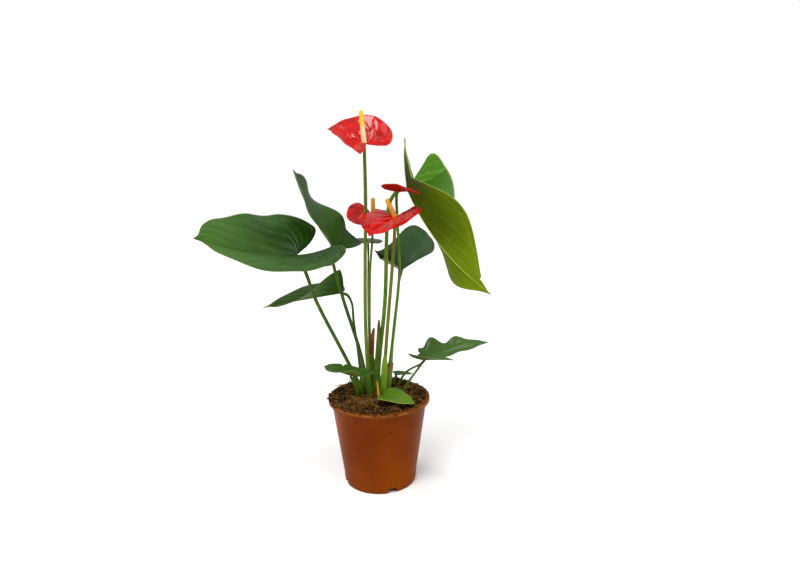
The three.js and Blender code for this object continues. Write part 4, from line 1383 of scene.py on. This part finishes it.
@dataclass
class YoungSheath:
    """The closed, pointed sheath of the next leaf, standing in the soil at the front."""

    finish: StemFinish
    base: Point = (0.0, -21.0, 103.0)
    bend: Point = (-1.0, -21.5, 117.0)
    top: Point = (-2.0, -22.0, 130.0)
    radius: float = 2.1
    tip_part: float = 0.004  # square of its tip's radius, as a part of that of its foot's

    def build(self) -> None:
        """Models and dresses the sheath."""
        route = route_curve(np.array([self.base, self.bend, self.top]))
        up = (route[:, 2] - self.base[2]) / (self.top[2] - self.base[2])
        radii = self.radius * np.sqrt(np.clip(1.0 - up, self.tip_part, 1))
        piece = rod("sheath_young_skin", route, radii, self.finish.material())
        install(piece, "sheath_dry", "sheath_young")


# ---------------------------------------------------------------- pot and soil


@dataclass
class Pot:
    """The nursery pot: a thin turned wall with a rolled rim, a foot band and drainage notches."""

    height: float = 105.0
    foot_radius: float = 42.0
    neck_radius: float = 57.0
    rim_radius: float = 60.0
    rim_height: float = 6.0
    rim_bead: float = 2.0
    wall: float = 1.6
    floor: float = 2.0
    foot_band: float = 7.0
    band_step: float = 0.4
    edge: float = 0.7
    notch_size: Point = (16.0, 10.0, 12.0)
    notch_azimuths: tuple[float, ...] = (-72.0, 18.0, 108.0, 198.0)
    segments: int = 160
    seam: float = 0.01  # within which the ends of the turn are merged
    softening: float = 0.35  # width of the rounding of its edges
    softened_from: float = 28.0  # angle of an edge that is rounded
    smooth_below: float = 40.0  # angle of an edge that is shaded smooth
    finish: PotFinish = PotFinish()

    def wall_radius(self, z: float) -> float:
        """The outside radius of the wall at a height."""
        return self.foot_radius + (self.neck_radius - self.foot_radius) * z / self.height

    def profile(self) -> list[tuple[float, float]]:
        """Lays out half the pot's section.

        Returns:
            Radius and height of its points, from the middle of the foot.
        """
        lip = self.height - self.rim_height
        band, step, edge = self.foot_band, self.band_step, self.edge
        inside = self.wall_radius(self.height) - self.wall
        return [
            (0, 0), (self.foot_radius - edge, 0), (self.foot_radius + step, edge),
            (self.wall_radius(band) + step, band), (self.wall_radius(band), band + step),
            (self.wall_radius(lip), lip), (self.rim_radius - edge, lip), (self.rim_radius, lip + edge),
            (self.rim_radius, self.height - self.rim_bead), (self.rim_radius - edge / 2, self.height - edge),
            (self.rim_radius - self.rim_bead, self.height), (inside + edge, self.height),
            (inside, self.height - edge), (self.wall_radius(self.floor) - self.wall, self.floor),
            (0, self.floor),
        ]

    def turn(self) -> bpy.types.Object:
        """Draws the section by extruding a point and spins it about the pot's axis.

        Returns:
            The turned pot.
        """
        clear_selection()
        bpy.ops.mesh.primitive_plane_add(size=MM)
        piece = bpy.context.object
        piece.name = piece.data.name = "pot_body"
        with edit_all():
            bpy.ops.mesh.merge(type="CENTER")
            place = (0.0, 0.0)
            for radius, height in self.profile()[1:]:
                move = ((radius - place[0]) * MM, 0.0, (height - place[1]) * MM)
                bpy.ops.mesh.extrude_region_move(TRANSFORM_OT_translate={"value": move})
                place = (radius, height)
            bpy.ops.mesh.select_all(action="SELECT")
            bpy.ops.mesh.spin(steps=self.segments, angle=2 * math.pi, center=(0, 0, 0), axis=(0, 0, 1))
            bpy.ops.mesh.select_all(action="SELECT")
            bpy.ops.mesh.remove_doubles(threshold=self.seam * MM)
            bpy.ops.mesh.normals_make_consistent(inside=False)
        return piece

    def notch(self, piece: bpy.types.Object, azimuth: float) -> None:
        """Cuts one drainage notch.

        Args:
            piece: The turned pot.
            azimuth: Where the notch lies.
        """
        turned, out = math.radians(azimuth), self.foot_radius * MM
        middle = (out * math.cos(turned), out * math.sin(turned), 0)
        bpy.ops.mesh.primitive_cube_add(size=1, location=middle, rotation=(0, 0, turned),
                                        scale=tuple(side * MM for side in self.notch_size))
        block = bpy.context.object
        pick(piece)
        cut = piece.modifiers.new("notch", "BOOLEAN")
        cut.operation = "DIFFERENCE"
        cut.solver = "EXACT"
        cut.object = block
        bpy.ops.object.modifier_apply(modifier=cut.name)
        bpy.data.objects.remove(block)

    def build(self) -> None:
        """Models and dresses the pot."""
        piece = self.turn()
        for azimuth in self.notch_azimuths:
            self.notch(piece, azimuth)
        pick(piece)
        soften = piece.modifiers.new("soft_edges", "BEVEL")
        soften.width = self.softening * MM
        soften.segments = 3
        soften.limit_method = "ANGLE"
        soften.angle_limit = math.radians(self.softened_from)
        bpy.ops.object.modifier_apply(modifier=soften.name)
        bpy.ops.object.shade_smooth_by_angle(angle=math.radians(self.smooth_below))
        piece.data.materials.append(self.finish.material())
        install(piece, "pot_plastic", "pot")


@dataclass
class Soil:
    """The peat in the pot: a lumpy mound, loose crumbs, and straw fibres that stand out of it."""

    pot: Pot
    clearance: float = 0.35  # between the peat and the pot
    edge_height: float = 104.0
    mound: float = 5.0
    fullness: float = 5.0
    slump: float = 0.9  # how far the mound has sunk at the front
    lump: float = 1.2
    lumps: tuple[tuple[float, float, float, float], ...] = (
        (0.31, 0.12, 1.3, 1.0), (0.19, -0.37, 2.0, 0.7), (0.53, 0.41, 1.6, 0.5))
    clod: float = 1.5  # height of the small clods
    clods: float = 0.22  # how close together they lie
    faces: tuple[int, int] = (160, 110)
    top_share: float = 0.72  # part of the sheet that is the surface
    side_share: float = 0.14  # part of it that is the side, and as much again the underside
    spill: float = 240.0  # azimuth at which it has spilled onto the rim
    spill_half: float = 1.5  # half the spill's width, in radians
    spill_reach: float = 6.0
    spilled_size: float = 0.55  # how much smaller the spilled crumbs are
    crumbs: int = 1700
    crumb_sizes: tuple[float, float] = (1.0, 4.6)
    crumb_tilt: float = 1.5  # radians
    spilled: int = 560  # crumbs of those that lie on and beside the rim
    fibres: int = 700
    fibre_sizes: tuple[float, float] = (5.0, 19.0)
    fibre_tilt: float = 0.8  # radians
    spilled_fibres: int = 93
    fibre_radii: tuple[float, ...] = (0.01, 0.022, 0.026, 0.026, 0.02, 0.006)  # as parts of its length
    shapes: int = 7  # different crumbs, and different fibres
    tangle: tuple[float, float, float, float] = (-20.0, -33.0, 9.0, 5.25)  # its middle and spreads
    tangled: int = 300  # more fibres, which lie in the tangle
    draw: random.Random = field(default_factory=lambda: random.Random(SEED))

    def edge_radius(self) -> float:
        """The radius of the soil where it meets the pot's wall."""
        return self.pot.wall_radius(self.edge_height) - self.pot.wall - self.clearance

    def height(self, x: np.ndarray, y: np.ndarray) -> np.ndarray:
        """Finds the height of the soil's surface.

        Args:
            x: Millimetres to the right of the pot's axis.
            y: Millimetres behind it.

        Returns:
            The height at each place.
        """
        out = np.hypot(x, y)
        part = np.clip(out / self.edge_radius(), 0, 1)
        standing = 1 - self.slump * part * np.maximum(0, -y / np.maximum(out, 1e-6))
        waves = sum(share * np.sin(a * x + b * y + phase) for a, b, phase, share in self.lumps)
        return self.edge_height + self.mound * (1 - part**self.fullness) * standing + self.lump * waves

    def level(self, x: float, y: float) -> float:
        """The height of the soil's surface at one place."""
        return float(self.height(np.array([x]), np.array([y]))[0])

    def place(self, across: np.ndarray, along: np.ndarray) -> np.ndarray:
        """Finds the places of points of the soil's sheet.

        The sheet runs over the surface, down the pot's wall and back to the middle of its floor.

        Args:
            across: Half turns round the axis, from -1 to 1.
            along: 0 at the middle of the surface, 1 at the middle of the underside.

        Returns:
            A row for each, in millimetres.
        """
        angle = np.pi * across
        over = np.clip(along / self.top_share, 0, 1)
        down = np.clip((along - self.top_share) / self.side_share, 0, 1)
        back = np.clip((along - self.top_share - self.side_share) / self.side_share, 0, 1)
        floor = self.pot.floor + self.clearance
        foot = self.pot.wall_radius(floor) - self.pot.wall - self.clearance
        radius = (self.edge_radius() * over + (foot - self.edge_radius()) * down) * (1 - back)
        x, y = radius * np.cos(angle), radius * np.sin(angle)
        spots = [(a * self.clods, b * self.clods, 3.1) for a, b in zip(x, y)]
        rough = np.array([noise.fractal(spot, 0.9, 2.2, 5) for spot in spots])
        top = self.height(x, y) + self.clod * rough * np.clip((1 - over) * 9, 0, 1)
        side = self.edge_height + (floor - self.edge_height) * down
        return np.column_stack([x, y, np.where(down > 0, side, top)])

    def scatter(self, spilled: bool, tangled: bool) -> tuple[float, float, float]:
        """Draws a random place on the soil.

        Args:
            spilled: Whether it lies where the soil has spilled onto the pot's rim.
            tangled: Whether it lies in the tangle.

        Returns:
            The place, in millimetres.
        """
        if tangled:
            middle_x, middle_y, spread_x, spread_y = self.tangle
            x, y = self.draw.gauss(middle_x, spread_x), self.draw.gauss(middle_y, spread_y)
            return x, y, self.level(x, y) + self.draw.uniform(0.0, 2.5)
        edge = self.edge_radius()
        if spilled:
            angle = math.radians(self.spill) + self.draw.triangular(-self.spill_half, self.spill_half)
            radius = edge + self.draw.uniform(-2.0, self.spill_reach)
        else:
            angle = self.draw.uniform(0, 2 * math.pi)
            radius = (edge + 0.5) * math.sqrt(self.draw.random())
        x, y = radius * math.cos(angle), radius * math.sin(angle)
        level = self.level(x, y)
        over = max(0.0, radius - self.pot.rim_radius + self.pot.rim_bead)
        return x, y, max(level, self.pot.height - over) if radius > edge - 1 else level

    def strew(self, name: str, masters: list[bpy.types.Object], skin: bpy.types.Material, count: int,
              sizes: tuple[float, float], tilt: float, spilled: int, tangled: int = 0) -> None:
        """Copies a few modelled shapes over the soil and joins the copies.

        Args:
            name: The joined piece's name.
            masters: The shapes, each a millimetre across, at the origin.
            skin: The finish of all of them.
            count: How many copies.
            sizes: The smallest and the largest, in millimetres.
            tilt: How far they may turn out of level, in radians.
            spilled: How many of them lie on the rim.
            tangled: How many lie in the tangle.
        """
        copies = []
        for i in range(count):
            master = self.draw.choice(masters)
            copy = master.copy()
            copy.data = master.data.copy()
            bpy.context.collection.objects.link(copy)
            size = self.draw.uniform(*sizes) * (self.spilled_size if i < spilled else 1)
            turned = Matrix.Rotation(self.draw.uniform(0, 2 * math.pi), 4, "Z")
            turned = turned @ Matrix.Rotation(self.draw.uniform(-tilt, tilt), 4, "X")
            place = Vector(self.scatter(i < spilled, i >= count - tangled)) + Vector((0, 0, size * 0.15))
            copy.data.transform(Matrix.Translation(place * MM) @ turned @ Matrix.Scale(size, 4))
            copies.append(copy)
        for master in masters:
            bpy.data.objects.remove(master)
        piece = join(name, copies)
        piece.data.materials.append(skin)
        bpy.ops.object.shade_smooth()
        install(piece, "soil")

    def crumb(self, seed: int) -> bpy.types.Object:
        """Models one crumb of peat, a millimetre across.

        Args:
            seed: Which of the crumbs it is.

        Returns:
            The crumb.
        """
        clear_selection()
        bpy.ops.mesh.primitive_cube_add(size=MM)
        piece = bpy.context.object
        with edit_all():
            bpy.ops.mesh.subdivide(number_cuts=1)
        places = read_rows(piece.data.vertices, "co")
        places *= 0.5 * MM / np.linalg.norm(places, axis=1, keepdims=True)
        for i, place in enumerate(places):
            places[i] *= 0.9 + 0.6 * noise.noise(Vector(place / MM * 1.7) + Vector((seed * 5.0, 0, 0)))
        places[:, 2] *= 0.75
        set_coordinates(piece.data, places)
        return piece

    def fibre(self, seed: int) -> bpy.types.Object:
        """Models one curved straw fibre, a millimetre long.

        Args:
            seed: Which of the fibres it is.

        Returns:
            The fibre.
        """
        bow = 0.12 * math.sin(seed * 2.1)
        along = np.linspace(-0.5, 0.5, len(self.fibre_radii))
        route = np.column_stack([along, bow * np.cos(along * 5 + seed), 0.1 * np.cos(along * 4 - seed)])
        return rod("fibre", route, np.array(self.fibre_radii), roundness=0)

    def build(self) -> None:
        """Models and dresses the mound, the crumbs and the fibres."""
        mound = sheet("soil_mound", self.faces, self.place)
        close_round(mound, EarthFinish("peat").material())
        install(mound, "soil", "soil")
        loose = EarthFinish("peat_crumbs", dark="#0a0502", light="#44290c").material()
        self.strew("soil_crumbs", [self.crumb(i) for i in range(self.shapes)], loose, self.crumbs,
                   self.crumb_sizes, self.crumb_tilt, self.spilled)
        straw = EarthFinish("straw_fibres", dark="#3c260a", light="#926a34", fibre="#cea05a").material()
        self.strew("soil_fibres", [self.fibre(i) for i in range(self.shapes)], straw,
                   self.fibres + self.tangled, self.fibre_sizes, self.fibre_tilt, self.spilled_fibres,
                   self.tangled)


# ---------------------------------------------------------------- studio


@dataclass(frozen=True)
class Lamp:
    """A broad soft lamp, so far away that it lights the floor evenly.

    azimuth, height: where it stands. width: the angle that it fills.
    strength: its light on a surface that faces it.
    """

    name: str
    azimuth: float
    height: float
    width: float
    strength: float

    def hang(self) -> None:
        """Adds the light, turned towards the plant."""
        azimuth, height = math.radians(self.azimuth), math.radians(self.height)
        level = math.cos(height)
        way = Vector((math.cos(azimuth) * level, math.sin(azimuth) * level, math.sin(height)))
        clear_selection()
        bpy.ops.object.light_add(type="SUN", location=way * 2)
        lamp = bpy.context.object
        lamp.name = self.name
        lamp.rotation_euler = way.to_track_quat("Z", "Y").to_euler()
        lamp.data.angle = math.radians(self.width)
        lamp.data.energy = self.strength


@dataclass
class Studio:
    """A pale floor, soft studio light and the camera at the photograph's viewing angle."""

    eye: Point = (0.0, -0.633, 0.347)  # metres
    pitch: float = 10.7  # downwards
    roll: float = -0.64
    yaw: float = 2.37
    focal: float = 560.0  # in pixels of the photograph
    width: float = 800.0  # of the photograph, in pixels
    film: float = 36.0
    nearest: float = 0.01  # metres
    floor_size: float = 12.0  # metres
    dome: tuple[float, float] = (0.22, 0.5)  # the surround's light from below and from above
    dome_change: tuple[float, float] = (-0.4, 0.9)  # between which slopes it changes from one to the other
    lamps: tuple[Lamp, ...] = (
        Lamp("key_lamp", -118.0, 58.0, 30.0, 2.0),
        Lamp("fill_lamp", -30.0, 40.0, 50.0, 0.9),
        Lamp("rim_lamp", 160.0, 40.0, 40.0, 1.3),
    )

    def place_camera(self) -> None:
        """Adds the camera; its turn is worked out from its three angles."""
        pitch, roll, yaw = (math.radians(angle) for angle in (self.pitch, self.roll, self.yaw))
        ahead = Vector((math.sin(yaw) * math.cos(pitch), math.cos(yaw) * math.cos(pitch), -math.sin(pitch)))
        level = Vector((math.cos(yaw), -math.sin(yaw), 0.0))
        above = level.cross(ahead)
        right = level * math.cos(roll) + above * math.sin(roll)
        up = above * math.cos(roll) - level * math.sin(roll)
        turn = Matrix((right, up, -ahead)).transposed()
        bpy.ops.object.camera_add(location=self.eye, rotation=turn.to_euler())
        camera = bpy.context.object
        camera.data.sensor_fit = "HORIZONTAL"
        camera.data.sensor_width = self.film
        camera.data.lens = self.film * self.focal / self.width
        camera.data.clip_start = self.nearest
        bpy.context.scene.camera = camera

    def lay_floor(self) -> None:
        """Adds the floor, a wide sheet of white paper: matt, so that it shows no reflection."""
        clear_selection()
        bpy.ops.mesh.primitive_plane_add(size=self.floor_size)
        floor = bpy.context.object
        floor.name = "studio_floor"
        paint = Painter("matt_white_paper")
        colour = paint.add("Mix.RGBA", paint.mottle(300.0), "#f8f8f7", "#fbfbfa")
        floor.data.materials.append(paint.finish(colour, 0.9))

    def light_room(self) -> None:
        """Sets a white surround, whose light comes more from above, and hangs the lamps."""
        world = bpy.data.worlds.new("white_surround")
        bpy.context.scene.world = world
        world.use_nodes = True
        tree = world.node_tree
        dome = tree.nodes["Background"]
        slope = add_node(tree, "SeparateXYZ", add_node(tree, "TexCoord").outputs["Generated"]).outputs["Z"]
        feed(tree, dome.inputs["Strength"], add_node(tree, "MapRange", slope, *self.dome_change, *self.dome))
        feed(tree, dome.inputs["Color"], "#ffffff")
        backdrop = add_node(tree, "Background", "#ffffff", 1.0)
        seen = add_node(tree, "LightPath").outputs["Is Camera Ray"]
        mixed = add_node(tree, "MixShader", seen, dome, backdrop)
        feed(tree, tree.nodes["World Output"].inputs["Surface"], mixed)
        for lamp in self.lamps:
            lamp.hang()

    def build(self) -> None:
        """Sets up the camera, the floor and the light."""
        self.place_camera()
        self.lay_floor()
        self.light_room()
        bpy.context.scene.view_settings.view_transform = "Standard"


# ---------------------------------------------------------------- assembly


class LeafKind(Enum):
    """The kinds of leaf on the plant, each with its finish."""

    MATURE = LeafFinish("mature_leaf", top=("#0e3003", "#254e09"), pale="#44721c", contrast=1.6, quilt=1.0)
    FOLDED = LeafFinish("folded_leaf", top=("#1e4406", "#32580e"), under=("#27480c", "#3c6014"),
                        pale="#3a5c16", vein_under="#5f7c2c", contrast=0.5)
    DULL = LeafFinish("dull_leaf", top=("#31562a", "#436c3a"), under=("#31562a", "#436c3a"), pale="#4a7040",
                      vein_top="#5e8456", vein_under="#5e8456", gloss=0.5, contrast=0.4)
    # leaf_5's top colours are lighter than the others': painted light shining through the blade from behind
    BACKLIT = LeafFinish("backlit_leaf", top=("#4f870f", "#6a9e28"), under=("#384402", "#647a04"),
                         pale="#8aac6a", vein_top="#9cc870", vein_under="#c4c860", margin="#94a83c",
                         gloss=0.3, shine=0.4, shine_under=0.03, contrast=0.5)
    LOW = LeafFinish("low_leaf", top=("#264a0c", "#3c621a"), under=("#3c4e10", "#5c6e20"), pale="#48682a",
                     tip="#3a2814", veins=Veins(8.0))
    FRESH = LeafFinish("fresh_leaf", top=("#3a5e06", "#4c700e"), under=("#4f6c14", "#688420"), pale="#5c7c16",
                       vein_top="#7c9a2c", margin="#a8b044", veins=Veins(7.0))


LEAF_KINDS: dict[str, LeafKind] = {
    "leaf_1": LeafKind.MATURE, "leaf_2": LeafKind.FOLDED, "leaf_3": LeafKind.FOLDED, "leaf_4": LeafKind.DULL,
    "leaf_5": LeafKind.BACKLIT, "leaf_6": LeafKind.FOLDED, "low_leaf_front": LeafKind.FRESH,
}  # the others are low leaves

GREEN_STEM = StemFinish("green_stem", "#294609", "#466714", "#586c1c")
PALE_STEM = StemFinish("pale_stem", "#4a600c", "#687c1e", "#747626")
BRIGHT_STEM = StemFinish("bright_stem", "#3e6408", "#638a16", "#6c7e1c", foot="#54840a")
RED_STEM = StemFinish("flushed_stem", "#5a5c0e", "#72701e", "#86581f")
LEAF_BASE = StemFinish("leaf_base", "#48680a", "#6c8c12", "#748220", foot="#44680a")
# a lighter copy of the leaf bases' finish, for the base at the right: partly its own lime, partly painted
# light
LIME_AND_PAINTED_LIGHT_BASE = StemFinish("lime_and_painted_light_leaf_base", "#507a08", "#7a9e14", "#84901c", foot="#507a08")
WOOD = StemFinish("woody_crown", "#8a6a3c", "#b8945c", "#6a4a28", 0.8, "#8a6a3c")
YOUNG = StemFinish("young_sheath", "#c98f2a", "#e0b048", "#a8702a", 0.45, "#c08030")

STEMS: dict[str, StemFinish] = {
    "leaf_5": BRIGHT_STEM, "low_leaf_front": BRIGHT_STEM, "bloom_middle": RED_STEM, "bloom_side": BRIGHT_STEM,
}  # the other petioles are green and the other peduncles pale

OPEN_BLOOM = (SpatheFinish(), SpadixFinish("open_spadix"))
# the lower blooms: darker copies of the top spathe's colours, a painted shade, with closed spadices
SHADED_YOUNGER_BLOOM = (SpatheFinish("shaded_spathe", "#9a0805", "#c61009", "#86160a", "#a84a3c", shine=0.25),
                 SpadixFinish("closed_spadix", "#e8a42c", "#f4b80e"))

SHEATHS: tuple[Sheath, ...] = (
    Sheath("sheath_rust", "bloom_back", 105, 182, -35, 85, 4.2,
           StemFinish("dry_rust_sheath", "#5e340c", "#8e521a", "#a0682a", 0.6, "#6a4818"),
           "sheath_dry", tip_width=0.17),
    Sheath("sheath_olive", "leaf_5", 105, 196, -145, 62, 3.6,
           StemFinish("olive_sheath", "#3a4a0c", "#56701a", "#6a6a24", tip=("#5c4418", 176, 192)),
           tip_width=0.17),
    Sheath("sheath_green", "bloom_top", 104, 130, -80, 80, 1.0,
           StemFinish("green_sheath", "#345a0c", "#527a1a", "#66802a"), tip_width=0.17),
    Sheath("sheath_straw", "bloom_side", 104, 143, -90, 85, 2.0,
           StemFinish("straw_sheath", "#6c7a14", "#8c9a26", "#8a8630", foot="#5c7a18",
                      tip=("#7a6426", 130, 141)), frayed=0.45, tip_width=0.7),
    Sheath("leaf_base_left", "leaf_1", 105, 129, -75, 95, 0.9, LEAF_BASE, tip_width=0.3),
    Sheath("leaf_base_middle", "leaf_2", 105, 134, -95, 95, 0.9, LEAF_BASE, tip_width=0.3),
    Sheath("leaf_base_front", "leaf_5", 104, 128, -70, 100, 1.4, LEAF_BASE, tip_width=0.15),
    Sheath("leaf_base_right", "bloom_middle", 104, 158, -100, 95, 0.9, LIME_AND_PAINTED_LIGHT_BASE, tip_width=0.12),
    Sheath("leaf_base_back", "bloom_back", 104, 152, -80, 75, 0.6, LEAF_BASE, gap=4.6, tip_width=0.12),
)


def dress_crown(crown: bpy.types.Object) -> None:
    """Gives the crown, whose shape is right in the frame, a woody finish.

    Args:
        crown: The crown's node.
    """
    crown.data.materials.clear()
    crown.data.materials.append(WOOD.material())
    LOG.info("%s: as in the frame", crown.name)


def main(nodes: dict[str, bpy.types.Object]) -> None:
    """Builds the studio and every piece of the plant, in order.

    Args:
        nodes: The frame's CAD nodes by name.
    """
    logging.basicConfig(level=logging.INFO, format="%(name)s: %(message)s")
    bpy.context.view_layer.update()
    Studio().build()
    pot = Pot()
    pot.build()
    Soil(pot).build()
    dress_crown(nodes["crown"])
    for blade in LEAVES:
        Leaf(blade, LEAF_KINDS.get(blade.name, LeafKind.LOW).value, STEMS.get(blade.name, GREEN_STEM)).build()
    for blade in BLOOMS:
        finish, florets = OPEN_BLOOM if blade.name == "bloom_top" else SHADED_YOUNGER_BLOOM
        Bloom(blade, finish, florets, STEMS.get(blade.name, PALE_STEM)).build()
    for sheath in SHEATHS:
        sheath.build()
    YoungSheath(YOUNG).build()


if __name__ == "__main__":
    main(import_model()["nodes"])
